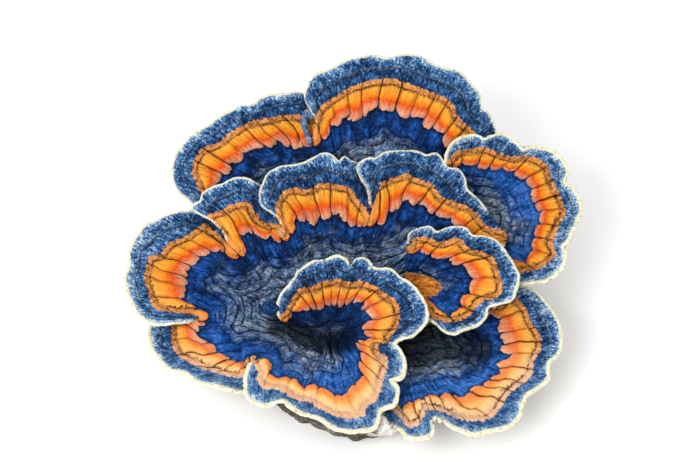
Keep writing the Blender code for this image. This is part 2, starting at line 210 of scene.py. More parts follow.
FRONT_LOBE = Lobe(
    rim=[
        (393, 344, 15.5), (400, 350, 16), (404, 359, 15.5), (404, 369, 15), (401, 377, 15), (390, 380, 14),
        (397, 387, 14.5), (397, 397, 14), (394, 405, 14), (381, 410, 13), (378, 419, 13), (375, 427, 12.5),
        (363, 430, 12.5), (349, 431, 12.5), (334, 427, 12.5), (318, 418, 12.5), (301, 412, 12.5),
        (290, 406, 13), (284, 400, 14.5), (277, 401, 14), (268, 405, 12.5), (256, 403, 12.5),
        (247, 396, 13),
    ],
    right=[(245, 384, 14.5), (246, 372, 16), (250, 364, 16.5), (257, 361, 15.5)],
    outer=[
        (382, 342), (378, 346), (381, 353), (388, 357), (388, 366), (385, 372), (383, 380), (382, 385),
        (377, 399), (366, 410), (365, 415), (350, 419), (330, 414), (312, 405), (293, 398), (280, 391),
        (264, 389), (257, 381), (257, 372), (255, 365),
    ],
    inner=[
        (363, 340), (358, 342), (360, 350), (362, 357), (361, 368), (362, 380), (355, 385), (347, 392),
        (343, 398), (330, 393), (315, 387), (301, 388), (292, 378), (276, 379), (271, 374), (268, 364),
        (262, 358),
    ],
)
LOWER_LEFT_LOBE = Lobe(
    left=[(257, 361, 15.5), (263, 371, 13), (262, 383, 11.5)],
    rim=[
        (254, 391, 11.5), (245, 391, 12), (236, 391, 12.5), (224, 388, 12.5), (213, 385, 12.5),
        (200, 382, 13), (190, 376, 13), (183, 372, 13.5), (171, 370, 13.5), (160, 360, 14),
        (153, 349, 14.5), (150, 337, 14.5), (150, 326, 14.5), (154, 316, 15),
    ],
    right=[(167, 310, 15.5), (183, 310, 15.5), (197, 319, 16)],
    outer=[
        (262, 384), (244, 379), (230, 377), (211, 372), (202, 368), (193, 364), (185, 360), (178, 355),
        (173, 348), (171, 340), (171, 325), (172, 317),
    ],
    inner=[
        (262, 372), (246, 368), (240, 364), (228, 361), (214, 350), (211, 343), (199, 338), (197, 330),
        (198, 322), (200, 316),
    ],
)
LEFT_LOBE = Lobe(
    left=[(197, 319, 16), (186, 321, 18.5), (172, 323, 19), (158, 324, 19)],
    rim=[
        (146, 320, 19), (136, 311, 19), (131, 300, 19), (127, 288, 19), (125, 278, 19.5), (129, 267, 20),
        (129, 256, 20.5), (131, 244, 21), (137, 234, 21.5), (146, 225, 22), (155, 221, 22),
        (165, 216, 22.5), (178, 212, 22.5), (190, 211, 22), (203, 208, 21),
    ],
    right=[(216, 213, 20.5), (227, 225, 20), (232, 237, 20), (230, 246, 20.5)],
    outer=[
        (199, 316), (188, 314), (174, 313), (160, 311), (154, 307), (150, 300), (147, 290), (144, 280),
        (145, 270), (147, 262), (150, 257), (160, 254), (165, 247), (172, 241), (185, 236), (195, 229),
        (205, 224), (214, 230), (222, 237), (229, 244), (233, 249),
    ],
    inner=[
        (204, 323), (203, 314), (195, 307), (184, 302), (183, 295), (187, 283), (184, 270), (190, 268),
        (196, 262), (199, 259), (213, 253), (220, 248), (227, 247), (233, 253),
    ],
)
UPPER_LEFT_LOBE = Lobe(
    left=[(230, 246, 20.5), (223, 231, 23), (212, 220, 23.5), (200, 214, 24)],
    rim=[
        (191, 207, 24.5), (200, 201, 25), (204, 192, 26), (212, 187, 26.5), (224, 184, 27),
        (233, 179, 27.5), (244, 178, 27.5), (254, 182, 27.5), (263, 186, 25.5), (272, 193, 23.5),
    ],
    right=[(281, 204, 22.5), (288, 216, 22), (284, 229, 22.5)],
    outer=[
        (235, 250), (227, 243), (220, 234), (211, 225), (207, 217), (213, 213), (220, 211), (230, 206),
        (240, 203), (250, 203), (253, 211), (258, 218), (269, 223), (277, 224), (287, 227),
    ],
    inner=[
        (242, 252), (243, 245), (240, 239), (248, 231), (257, 237), (266, 239), (275, 236), (278, 240),
        (288, 239),
    ],
)
MIDDLE_LOBE = Lobe(
    left=[(284, 229, 22.5), (279, 218, 25), (270, 211, 25.5), (262, 205, 26)],
    rim=[
        (260, 196, 27), (263, 184, 27.5), (269, 173, 28), (278, 168, 28.5), (292, 166, 29), (304, 164, 29),
        (313, 158, 29.5), (322, 154, 30), (332, 155, 30), (339, 162, 29), (344, 157, 29.5), (351, 161, 29),
        (358, 163, 27.5), (368, 168, 25.5),
    ],
    right=[(377, 181, 24), (380, 197, 23.5), (371, 212, 23.5)],
    outer=[
        (284, 232), (279, 218), (276, 205), (284, 192), (295, 188), (305, 190), (320, 183), (340, 186),
        (350, 188), (358, 200), (368, 213),
    ],
    inner=[
        (286, 237), (293, 234), (294, 221), (303, 220), (312, 225), (321, 218), (331, 216), (340, 212),
        (342, 218), (353, 227), (365, 221), (372, 216),
    ],
)
RIGHT_BACK_LOBE = Lobe(
    left=[(371, 212, 23.5), (370, 200, 26), (368, 188, 27), (361, 177, 28)],
    rim=[
        (358, 167, 29), (364, 160, 29.5), (376, 158, 30), (385, 153, 30), (396, 151, 30), (416, 152, 29.5),
        (427, 156, 29), (436, 154, 29), (442, 160, 28.5), (448, 168, 28), (458, 170, 27), (464, 178, 26),
        (467, 190, 25), (476, 197, 24), (485, 208, 23), (492, 218, 22), (499, 227, 21), (506, 235, 20),
        (503, 244, 19.5), (498, 254, 18.5),
    ],
    outer=[
        (369, 218), (370, 203), (371, 191), (376, 186), (388, 179), (402, 175), (408, 173), (415, 178),
        (432, 184), (441, 195), (455, 202), (470, 207), (478, 214), (486, 225), (493, 229), (502, 231),
        (512, 234),
    ],
    inner=[
        (371, 223), (377, 222), (383, 222), (386, 214), (393, 210), (398, 207), (408, 200), (413, 206),
        (424, 203), (433, 214), (445, 217), (453, 224), (466, 236), (476, 252),
    ],
)

# The tall fan behind it
BACK_LEFT_LOBE = Lobe(
    rim=[
        (206, 205, 19.5), (196, 206, 20), (188, 199, 21), (179, 192, 22), (174, 183, 23.5), (172, 170, 25),
        (174, 158, 26.5), (179, 149, 28), (187, 140, 29), (198, 131, 30), (210, 125, 31), (220, 117, 32),
        (230, 112, 32.5), (241, 106, 33.5), (252, 105, 34), (262, 98, 34.5), (272, 94, 35), (284, 94, 35),
        (296, 92, 35), (304, 94, 34), (313, 100, 32.5),
    ],
    right=[(322, 111, 30.5), (324, 125, 29), (311, 138, 28.5)],
    outer=[
        (203, 200), (199, 190), (192, 175), (193, 163), (200, 150), (216, 144), (232, 131), (250, 122),
        (270, 118), (290, 114), (303, 116), (312, 118),
    ],
    inner=[
        (208, 197), (213, 187), (222, 178), (229, 170), (231, 163), (238, 162), (251, 150), (266, 148),
        (280, 141), (286, 146), (300, 147), (312, 146),
    ],
)
BACK_TALL_LOBE = Lobe(
    left=[(311, 138, 28.5), (316, 120, 33), (310, 109, 35)],
    rim=[
        (305, 99, 36.5), (307, 88, 38), (312, 79, 39), (320, 73, 39.5), (331, 69, 40), (341, 63, 41),
        (352, 59, 41.5), (364, 57, 42), (376, 56, 42), (387, 58, 42), (398, 56, 42), (412, 55, 42),
        (424, 58, 41.5), (434, 65, 41), (444, 69, 40.5), (456, 72, 40), (466, 79, 39), (474, 88, 37.5),
        (480, 97, 36), (480, 107, 34.5), (489, 115, 32.5), (493, 124, 30.5), (497, 134, 28), (501, 146, 25),
        (499, 160, 22),
    ],
    outer=[
        (312, 137), (314, 122), (318, 111), (325, 102), (340, 93), (354, 86), (372, 81), (395, 80),
        (412, 86), (435, 93), (452, 103), (460, 118), (476, 133), (484, 146),
    ],
    inner=[
        (313, 141), (325, 138), (332, 127), (341, 125), (342, 119), (363, 119), (369, 111), (380, 108),
        (396, 111), (405, 118), (420, 117), (423, 124), (430, 128), (441, 132), (446, 143), (452, 158),
    ],
)

# The round fan on the right
RIGHT_LOBE = Lobe(
    rim=[
        (446, 168, 27), (447, 156, 29), (451, 145, 30.5), (459, 138, 31), (470, 135, 31), (479, 136, 31),
        (484, 139, 30.5), (492, 136, 30.5), (502, 134, 30.5), (511, 139, 30), (518, 145, 29.5),
        (524, 150, 29), (531, 147, 29), (543, 148, 29), (555, 153, 28.5), (564, 162, 28), (568, 173, 27.5),
        (564, 182, 27), (573, 188, 26.5), (579, 198, 26), (581, 209, 25.5), (577, 220, 25),
        (573, 230, 24.5), (568, 241, 24), (562, 246, 23.5), (566, 255, 23), (562, 267, 22), (553, 276, 21),
        (541, 281, 20.5), (526, 283, 20), (510, 284, 19), (500, 282, 18),
    ],
    outer=[
        (449, 160), (453, 153), (470, 149), (490, 149), (510, 156), (530, 156), (547, 165), (553, 182),
        (562, 200), (566, 213), (560, 226), (552, 243), (556, 253), (545, 266), (520, 273), (508, 275),
    ],
    inner=[
        (449, 172), (452, 165), (470, 165), (490, 168), (516, 174), (532, 189), (535, 202), (540, 214),
        (538, 229), (533, 244), (531, 251), (527, 260), (515, 261), (505, 262),
    ],
)

# The small fan that grows out of the big funnel, next to its scroll
SMALL_LOBE = Lobe(
    rim=[
        (408, 243, 20), (411, 232, 22.5), (419, 228, 24), (429, 227, 24), (437, 232, 24), (445, 229, 24.5),
        (456, 227, 25), (466, 229, 25), (473, 236, 24.5), (483, 236, 25), (493, 239, 25), (501, 245, 25),
        (508, 255, 24.5), (514, 266, 24), (518, 276, 23.5), (516, 288, 22.5), (511, 299, 21.5),
        (500, 303, 20.5), (488, 307, 19.5), (486, 316, 18.5), (478, 324, 18), (466, 328, 18),
        (453, 333, 17.5), (443, 329, 17.5), (434, 322, 17.5), (426, 316, 17), (425, 307, 16.5),
    ],
    outer=[
        (410, 246), (412, 239), (425, 237), (440, 242), (460, 239), (468, 248), (484, 252), (496, 261),
        (499, 272), (503, 285), (499, 296), (480, 303), (470, 316), (450, 322), (432, 318), (428, 312),
    ],
    inner=[
        (411, 254), (425, 252), (434, 258), (453, 260), (455, 265), (467, 268), (471, 280), (470, 288),
        (468, 293), (463, 299), (460, 308), (450, 318), (437, 311), (430, 306),
    ],
)

# The low fan in front on the right, and the tip where its rim curls
LOWER_LOBE = Lobe(
    rim=[
        (494, 308, 14.5), (504, 293, 16), (516, 287, 17), (526, 288, 17), (536, 293, 16.5), (546, 303, 16),
        (553, 313, 16), (559, 324, 15.5), (561, 336, 15), (561, 347, 14.5), (556, 356, 14.5),
        (549, 362, 14.5), (549, 373, 14), (546, 381, 13.5), (538, 388, 13.5), (528, 394, 13.5),
        (523, 403, 13), (519, 416, 12.5), (510, 425, 12), (499, 429, 12), (487, 431, 12), (474, 434, 12),
        (461, 431, 12), (451, 426, 12.5), (443, 420, 14),
    ],
    right=[(436, 418, 14.5), (430, 415, 14)],
    outer=[
        (500, 304), (506, 297), (515, 298), (525, 308), (530, 320), (538, 331), (542, 345), (535, 362),
        (531, 376), (520, 386), (508, 396), (500, 408), (487, 420), (465, 420), (445, 413), (435, 410),
        (427, 409),
    ],
    inner=[
        (486, 316), (492, 313), (500, 323), (498, 331), (506, 341), (501, 350), (510, 358), (495, 366),
        (503, 374), (491, 380), (482, 386), (470, 393), (463, 400), (448, 394), (436, 399), (427, 398),
    ],
)
LOWER_TIP = Lobe(
    left=[(430, 415, 14), (432, 423, 12.5)],
    rim=[
        (434, 430, 11.5), (430, 436, 11), (419, 438, 11), (406, 436, 11), (400, 429, 10.5), (390, 424, 9),
        (378, 414, 8),
    ],
    outer=[(428, 409), (425, 414), (417, 425), (408, 427), (399, 417), (389, 408)],
    inner=[(427, 398), (420, 399), (412, 403), (401, 408), (393, 398)],
)

# Lines round which painted shade darkens the folded middles where the scroll and other caps shade them,
# where a rim isn't pale, and the small fan's lone orange patch
MAIN_HOLLOW_SHADE_LINE = ((282, 324), (300, 331), (318, 340), (335, 342), (352, 334))
MAIN_SHADE_LINE = ((300, 318), (325, 321), (348, 320), (358, 328))
LOWER_HOLLOW_SHADE_LINE = ((398, 336), (415, 348), (440, 344), (470, 346))
BARE_EDGE = ((492, 218, 22), (499, 227, 21), (506, 235, 20), (289, 321, 14))
ISLET = (
    (401, 271), (412, 273), (429, 276), (437, 281), (442, 288), (437, 295), (426, 300), (412, 303),
    (396, 292), (394, 278),
)

# Each cap's lobes, its root, how hollow it is, and the seed of its plates' widths; lines of painted shade
# are (line, reach, share), and pale lightens the whole cap as painted light where other caps shade it
Cap = namedtuple("Cap", "lobes root bowl seed dark_lines pale islet", defaults=((), 0.0, ()))
CAPS = {
    "main_cap": Cap(
        (SCROLL, FRONT_LOBE, LOWER_LEFT_LOBE, LEFT_LOBE, UPPER_LEFT_LOBE, MIDDLE_LOBE, RIGHT_BACK_LOBE),
        (330, 332, 7), 1.3, 1, ((MAIN_HOLLOW_SHADE_LINE, 4.5, 1.0), (MAIN_SHADE_LINE, 4.0, 0.7)),
    ),
    "back_cap": Cap((BACK_LEFT_LOBE, BACK_TALL_LOBE), (357, 242, 12), 1.2, 2),
    # pale=0.7 is painted light: it lightens the middle that the main cap's back lobe shades
    "right_cap": Cap((RIGHT_LOBE,), (463, 222, 13), 1.2, 3, pale=0.7),
    "small_cap": Cap((SMALL_LOBE,), (404, 286, 15), 1.1, 4, islet=ISLET),
    "lower_cap": Cap((LOWER_LOBE, LOWER_TIP), (392, 340, 7), 1.4, 5, ((LOWER_HOLLOW_SHADE_LINE, 8.0, 1.0),)),
}

# Small curled lumps of skin, as points with their radius: across, down, height, radius
RIBBON = (
    (317, 116, 33.4, 0.60), (312, 114, 33.0, 1.15), (307, 114, 31.9, 1.20), (304, 121, 30.8, 0.95),
    (306, 131, 29.4, 0.75), (309, 140, 29.0, 0.65), (311, 147, 28.0, 0.45),
)
TONGUE = ((280, 311, 14.4, 1.4), (275, 309, 15.1, 2.0), (268, 308, 15.3, 2.2), (261, 308, 15.1, 2.0))
CURL = (
    (375, 158, 29.0, 0.5), (379, 153, 29.0, 1.1), (386, 150, 28.8, 1.3), (393, 150, 28.6, 1.1),
    (399, 154, 28.6, 0.4),
)
NUB = ((284, 225, 23.8, 0.75), (282, 231, 22.8, 1.25), (282, 238, 21.6, 1.0))


def placed(seen):
    """The point in mm at that height which the picture shows at that pixel."""
    across, down, height = seen
    per_pixel = SENSOR / PICTURE_SIZE[0]
    right = (across - PICTURE_SIZE[0] / 2) * per_pixel
    up = (PICTURE_SIZE[1] / 2 - down) * per_pixel
    ray = np.array((right, LENS * COSINE + up * SINE, up * COSINE - LENS * SINE))
    return EYE + ray * (height - EYE[2]) / ray[2]


def seen_at(points):
    """The pixels at which the picture shows the points."""
    away = points - EYE
    depth = away[..., 1] * COSINE - away[..., 2] * SINE
    up = away[..., 1] * SINE + away[..., 2] * COSINE
    scale = LENS_PIXELS / depth
    return np.stack((PICTURE_SIZE[0] / 2 + away[..., 0] * scale, PICTURE_SIZE[1] / 2 - up * scale), axis=-1)


def distance(points, place):
    return np.linalg.norm(points - place, axis=-1)


def unit(vectors):
    return vectors / np.maximum(np.linalg.norm(vectors, axis=1, keepdims=True), 1e-12)


def running_length(points, power=1.0):
    """The way along the points up to each one, with every step raised to that power."""
    steps = np.linalg.norm(np.diff(points, axis=0), axis=1) ** power
    return np.concatenate(((0.0,), np.cumsum(steps)))


def between(t, start, end, first, last):
    """What goes evenly from first at start to last at end."""
    return (end - t) / (end - start) * first + (t - start) / (end - start) * last


def even_curve(points, step):
    """A smooth curve through the points (a centripetal Catmull-Rom), read every step mm."""
    points = np.array(points)
    padded = np.concatenate((2 * points[:1] - points[1:2], points, 2 * points[-1:] - points[-2:-1]))
    knots = running_length(padded, 0.5)
    dense = []
    for i in range(1, len(padded) - 2):
        t0, t1, t2, t3 = knots[i - 1 : i + 3]
        p0, p1, p2, p3 = padded[i - 1 : i + 3]
        t = np.linspace(t1, t2, 12, endpoint=False)[:, None]
        a1 = between(t, t0, t1, p0, p1)
        a2 = between(t, t1, t2, p1, p2)
        a3 = between(t, t2, t3, p2, p3)
        dense.append(between(t, t1, t2, between(t, t0, t2, a1, a2), between(t, t1, t3, a2, a3)))
    dense = np.concatenate((*dense, points[-1:]))
    along = running_length(dense)
    even = np.linspace(0, along[-1], max(2, round(along[-1] / step) + 1))
    return np.stack([np.interp(even, along, dense[:, k]) for k in range(3)], axis=1)


def blurred(values, spread):
    """The values along a rim smoothed over that many samples, with the ends held."""
    reach = int(3 * spread) + 1
    weights = np.exp(-0.5 * (np.arange(-reach, reach + 1) / spread) ** 2)
    return np.convolve(np.pad(values, reach, mode="edge"), weights / weights.sum(), mode="valid")


def steady(angles):
    """Angles that run one way only, through the middle of each place where they turn back."""
    way = np.sign(angles[-1] - angles[0])
    turned = angles * way
    least = np.maximum.accumulate(turned)
    most = np.minimum.accumulate(turned[::-1])[::-1]
    return (least + most) / 2 * way


def smoothstep(low, high, x):
    t = np.clip((x - low) / (high - low), 0, 1)
    return t * t * (3 - 2 * t)


def hump(x, width):
    """One at nought, nothing further off than about twice the width."""
    return np.exp(-((x / width) ** 2))


def saw(x):
    """From -1 to 1 along each whole step."""
    return 2 * (x - np.floor(x)) - 1


def arch(x):
    return np.sqrt(np.maximum(0, 1 - x**2))


LATTICE_SIZE = 32
LATTICE = np.random.default_rng(7).uniform(-1, 1, (LATTICE_SIZE,) * 3)


def noise(points, size):
    """Smooth noise from -1 to 1 with lumps of about that size, the same on every run."""
    cell = np.asarray(points) / size
    low = np.floor(cell).astype(int)
    t = cell - low
    t = t * t * (3 - 2 * t)
    total = np.zeros(cell.shape[:-1])
    for x, y, z in np.ndindex(2, 2, 2):
        weight = np.abs(1 - x - t[..., 0]) * np.abs(1 - y - t[..., 1]) * np.abs(1 - z - t[..., 2])
        corner = (low + (x, y, z)) % LATTICE_SIZE
        total += weight * LATTICE[corner[..., 0], corner[..., 1], corner[..., 2]]
    return total


def cloud(points, size, octaves=3):
    """Noise with finer noise on it. Points moved by a number of their own give a cloud of their own."""
    return sum(noise(points + 7.3 * k, size / 2**k) / 2**k for k in range(octaves)) / 1.6


class Patch:
    """One lobe: its edge as a curve in mm, and the corners where its sides meet its rim."""

    def __init__(self, lobe, root):
        self.lobe = lobe
        self.root = root
        edge = even_curve([placed(seen) for seen in (*lobe.left, *lobe.rim, *lobe.right)], RIM_STEP)
        edge = edge + unit(edge - root) * (EDGE_WANDER * cloud(edge + 67, 2.6, 2))[:, None]
        edge[:, 2] += EDGE_WAVES * cloud(edge + 71, 3.2, 2)
        self.edge = edge
        self.first = np.argmin(distance(edge, placed(lobe.rim[0]))) if lobe.left else 0
        self.last = np.argmin(distance(edge, placed(lobe.rim[-1]))) if lobe.right else len(edge) - 1
        self.tips = [edge[0]] * bool(lobe.left) + [edge[-1]] * bool(lobe.right)
        self.out = edge[:, :2] - root[:2]
        self.radius = np.hypot(self.out[:, 0], self.out[:, 1])
        self.turn = -np.unwrap(np.arctan2(self.out[:, 1], self.out[:, 0]))
        self.rim = slice(self.first, self.last + 1)
        self.left_start = self.radius[0] * (1 if lobe.left else PALM_SHARE)
        self.right_start = self.radius[-1] * (1 if lobe.right else PALM_SHARE)

    def follow(self, other):
        """Count this lobe's turns on from those of the lobe before it."""
        self.turn += 2 * math.pi * round((other.turn[-1] - self.turn[0]) / (2 * math.pi))

    def side_turns(self, radii):
        """Where the lobe's left and right sides lie at those distances from the root."""
        left = slice(0, self.first + 1)
        right = slice(self.last, len(self.edge))
        left_radii = np.maximum.accumulate(self.radius[left])
        right_radii = np.maximum.accumulate(self.radius[right][::-1])
        at_left = np.interp(radii, left_radii, self.turn[left])
        at_right = np.interp(radii, right_radii, self.turn[right][::-1])
        return at_left, at_right

    def shape(self, guide_radius, guide_height, bowl):
        """Lay columns from the root to the rim that follow the lobe's two sides without crossing."""
        radius = self.radius[self.rim]
        at_left, at_right = self.side_turns(radius)
        part = (self.turn[self.rim] - at_left) / np.maximum(at_right - at_left, LEAST_TURN)
        part = blurred(steady(part), GUIDE_SPREAD / RIM_STEP)
        part = (part - part[0]) / (part[-1] - part[0])
        waist = self.left_start + (self.right_start - self.left_start) * part
        waist = np.minimum(waist, WAIST_SHARE * radius)
        palm = np.linspace(0, 1, PALM_ROWS + 1)[None, :]
        lobe = np.linspace(0, 1, LOBE_ROWS + 1)[None, 1:]
        inward = ROOT_RADIUS + (waist[:, None] - ROOT_RADIUS) * palm
        outward = waist[:, None] + (radius - waist)[:, None] * lobe
        radii = np.concatenate((inward, outward), axis=1)
        at_left, at_right = self.side_turns(radii)
        turns = at_left + part[:, None] * (at_right - at_left)
        plan = np.stack((np.cos(turns), -np.sin(turns)), axis=2) * radii[:, :, None]
        missed = self.out[self.rim] - plan[:, -1]
        beyond = np.concatenate((0 * palm, lobe), axis=1)
        self.plan = plan + smoothstep(0, 1, beyond)[:, :, None] * missed[:, None, :] + self.root[:2]

        rise = (guide_height - self.root[2])[:, None]
        base = self.root[2] + rise * (radii / guide_radius[:, None]) ** bowl
        height = base + self.residual(base, guide_radius, guide_height, bowl)
        self.points = np.concatenate((self.plan, height[:, :, None]), axis=2)

    def residual(self, base, guide_radius, guide_height, bowl):
        """How far the sheet must leave its plain bowl for its edge to lie at the heights asked for."""
        wanted = self.edge[:, 2].copy()
        wanted[self.rim] -= base[:, -1]
        for side, end in ((slice(0, self.first), 0), (slice(self.last + 1, len(self.edge)), -1)):
            share = self.radius[side] / guide_radius[end]
            wanted[side] -= self.root[2] + (guide_height[end] - self.root[2]) * share**bowl
        columns = self.plan[:, PALM_ROWS:].reshape(-1, 2)
        every = slice(None, None, 2)
        apart = ((columns[:, None, :] - self.edge[None, every, :2]) ** 2).sum(axis=2)
        weights = 1 / (apart + 0.02) ** 1.5
        found = (weights @ wanted[every]) / weights.sum(axis=1)
        found = found.reshape(len(base), -1)
        palm = smoothstep(PALM_START, 1, np.linspace(0, 1, PALM_ROWS + 1)[:-1])
        return np.concatenate((found[:, :1] * palm, found), axis=1)

    def from_rim(self):
        """Each point's distance from the edge in mm, and more where the edge has no pale rim."""
        points = self.points.reshape(-1, 3)
        near = np.full(len(points), np.inf)
        for some in np.array_split(self.edge, CHUNKS):
            apart = ((points[:, None, :] - some[None, :, :]) ** 2).sum(axis=2)
            near = np.minimum(near, apart.min(axis=1))
        near = np.sqrt(near)
        bare = [(tip, TIP_REACH) for tip in self.tips] + [(placed(mark), BARE_REACH) for mark in BARE_EDGE]
        for place, reach in bare:
            near += BARE_DEPTH * smoothstep(reach, 0.3 * reach, distance(points, place))
        return near

    def near_cleft(self):
        """One round the inner ends of the lobe's clefts, nothing elsewhere."""
        away = [distance(self.points, tip) for tip in self.tips]
        return smoothstep(*CLEFT_REACH, np.minimum.reduce(away)) if away else 0 * self.points[..., 0]


def picture_line(marks):
    """A line of the picture as close points in pixels."""
    return even_curve([(*mark, 0.0) for mark in marks], 2.0)[:, :2]


def away_from(line, seen):
    """How far each pixel lies from the line, in mm."""
    nearest = []
    for some in np.array_split(seen, CHUNKS):
        apart = ((some[:, None, :] - line[None, :, :]) ** 2).sum(axis=2)
        nearest.append(apart.min(axis=1))
    return np.sqrt(np.concatenate(nearest)) * MM_PER_PIXEL


def within_outline(outline, seen):
    """Which pixels lie inside the closed outline."""
    inside = np.zeros(len(seen), dtype=bool)
    for (x0, y0), (x1, y1) in zip(outline, np.roll(outline, -1, axis=0)):
        if y0 == y1:
            continue
        crossing = x0 + (seen[:, 1] - y0) * (x1 - x0) / (y1 - y0)
        straddles = (seen[:, 1] < y0) != (seen[:, 1] < y1)
        inside ^= straddles & (seen[:, 0] < crossing)
    return inside


def within_line(line, seen, centre):
    """Which pixels lie on the centre's side of the line."""
    middle = line[len(line) // 2] - centre
    ahead = math.atan2(middle[1], middle[0])

    def polar(pixels):
        away = pixels - centre
        turn = np.arctan2(away[:, 1], away[:, 0]) - ahead
        return (turn + math.pi) % (2 * math.pi) - math.pi, np.hypot(away[:, 0], away[:, 1])

    line_turn, line_radius = polar(line)
    turn, radius = polar(seen)
    return radius < np.interp(turn, np.maximum.accumulate(line_turn), line_radius)


def quads(grids):
    """The faces between neighbouring vertices of each grid, turned to face up."""
    faces = []
    for grid in grids:
        corners = (grid[:-1, :-1], grid[1:, :-1], grid[1:, 1:], grid[:-1, 1:])
        faces.append(np.stack(corners, axis=-1).reshape(-1, 4))
    return np.concatenate(faces)


class Sheet:
    """One cap's upper side: its lobes side by side, joined up to the clefts between them."""

    def __init__(self, cap):
        self.root = placed(cap.root)
        self.patches = [Patch(lobe, self.root) for lobe in cap.lobes]
        for before, patch in zip(self.patches, self.patches[1:]):
            patch.follow(before)
        ends = np.cumsum([patch.last + 1 - patch.first for patch in self.patches])[:-1]
        radius = np.concatenate([patch.radius[patch.rim] for patch in self.patches])
        height = np.concatenate([patch.edge[patch.rim, 2] for patch in self.patches])
        guides = [np.split(blurred(values, FOLD_SPREAD / RIM_STEP), ends) for values in (radius, height)]
        for patch, patch_radius, patch_height in zip(self.patches, *guides):
            patch.shape(patch_radius, patch_height, cap.bowl)
        self.number_vertices()
        self.measure()
        self.lay_plates(cap.seed)
        self.shade(cap)

    def number_vertices(self):
        """Number the sheet's vertices, once for those that two lobes share."""
        start = 0
        self.grids = []
        for patch in self.patches:
            columns, rows = patch.points.shape[:2]
            grid = np.arange(columns * rows).reshape(columns, rows) + start
            start = grid[-1, -1] + 1
            if self.grids:
                shared = PALM_ROWS + 1 if patch.lobe.left else rows
                grid[0, :shared] = self.grids[-1][-1, :shared]
            self.grids.append(grid)
        used = np.unique(np.concatenate([grid.ravel() for grid in self.grids]))
        self.grids = [np.searchsorted(used, grid) for grid in self.grids]
        self.points = self.gathered([patch.points for patch in self.patches])

    def gathered(self, values):
        """Per-lobe values as one list by vertex, with the mean where two lobes share one."""
        ids = np.concatenate([grid.ravel() for grid in self.grids])
        flat = np.concatenate([value.reshape(grid.size, -1) for value, grid in zip(values, self.grids)])
        total = np.zeros((ids.max() + 1, flat.shape[1]))
        count = np.zeros(len(total))
        np.add.at(total, ids, flat)
        np.add.at(count, ids, 1)
        result = total / np.maximum(count, 1)[:, None]
        return result[:, 0] if result.shape[1] == 1 else result

    def measure(self):
        """Each vertex's distances from the rim and the edges of the zones, and its place along the rim."""
        past_outer, past_inner, along = [], [], []
        start = 0.0
        for k, patch in enumerate(self.patches):
            nearby = [other.lobe for other in self.patches[max(0, k - 1) : k + 2]]
            past_outer.append(self.beyond(patch, patch.lobe.outer, [lobe.outer for lobe in nearby]))
            past_inner.append(self.beyond(patch, patch.lobe.inner, [lobe.inner for lobe in nearby]))
            place = start + running_length(patch.points[:, PALM_ROWS + LOBE_ROWS // 2])
            start = place[-1]
            along.append(np.broadcast_to(place[:, None], patch.points.shape[:2]))
        self.from_rim = self.gathered([patch.from_rim() for patch in self.patches])
        self.cleft = self.gathered([patch.near_cleft() for patch in self.patches])
        past_outer = self.gathered(past_outer)
        self.past_inner = np.minimum(self.gathered(past_inner), past_outer - LEAST_BAND)
        self.past_outer = past_outer + 0.4 * cloud(self.points, 5.0)
        self.along = self.gathered(along)
        self.length = start

    def beyond(self, patch, own, nearby):
        """How far inside its own line of the picture each point lies, in mm; outside it, below zero."""
        size = patch.points.shape[:2]
        seen = seen_at(patch.points).reshape(-1, 2)
        line = picture_line(own)
        inwards = away_from(line, seen).reshape(size)
        nearest = away_from(np.concatenate([picture_line(marks) for marks in nearby]), seen).reshape(size)
        inwards[:, : PALM_ROWS + 1] = nearest[:, : PALM_ROWS + 1]
        inside = within_line(line, seen, seen_at(self.root)).reshape(size)
        return np.where(inside, inwards, -inwards)

    def lay_plates(self, seed):
        """Number the plates along the rim, the rings round the root and the pads along the rings."""
        self.ring = (self.past_inner + RING_WANDER * cloud(self.points + 41, 6.0, 2)) / RING_WIDTH
        self.pad_along = self.along + RING_WANDER * cloud(self.points + 47, 4.0, 2)
        rng = np.random.default_rng(seed)
        widths = rng.uniform(*PLATE_WIDTHS, size=int(self.length / PLATE_WIDTHS[0]) + 2)
        borders = np.concatenate(((0.0,), np.cumsum(widths)))
        plate = np.interp(self.along, borders, np.arange(len(borders)))
        self.plate = plate + 0.06 * cloud(self.points + 31, 2.5)

    def shade(self, cap):
        """Where painted shade darkens the middle, where the lone patch lies, and where front and sides are
        pale, partly as painted light.
        """
        seen = seen_at(self.points)
        self.dark = np.zeros(len(seen))
        for line, reach, share in cap.dark_lines:
            wander = 0.35 * reach * cloud(self.points, 4.0, 2)
            near = smoothstep(reach, 0.35 * reach, away_from(picture_line(line), seen) + wander)
            self.dark = np.maximum(self.dark, share * near)
        self.islet = np.full(len(seen), NO_ISLET)
        if cap.islet:
            outline = picture_line((*cap.islet, cap.islet[0]))
            inwards = away_from(outline, seen)
            self.islet = np.where(within_outline(outline, seen), inwards, -inwards)
        x, y, _ = self.points.T
        self.front = smoothstep(*FRONT, y)
        self.calm = smoothstep(*CALM_FRONT, y) * smoothstep(*CALM_LEFT, x)
        # pale: lighter sides and front, partly paler fibres and partly painted light; the cap's own pale is
        # painted light
        self.pale = np.maximum(smoothstep(*PALE_SIDES, np.abs(x)), 0.45 * self.front) + cap.pale

    def normals(self):
        """Smooth normals on the upper side."""
        faces = quads(self.grids)
        corners = self.points[faces]
        across = np.cross(corners[:, 2] - corners[:, 0], corners[:, 3] - corners[:, 1])
        total = np.zeros_like(self.points)
        for k in range(4):
            np.add.at(total, faces[:, k], across)
        return unit(total) if across[:, 2].sum() > 0 else -unit(total)

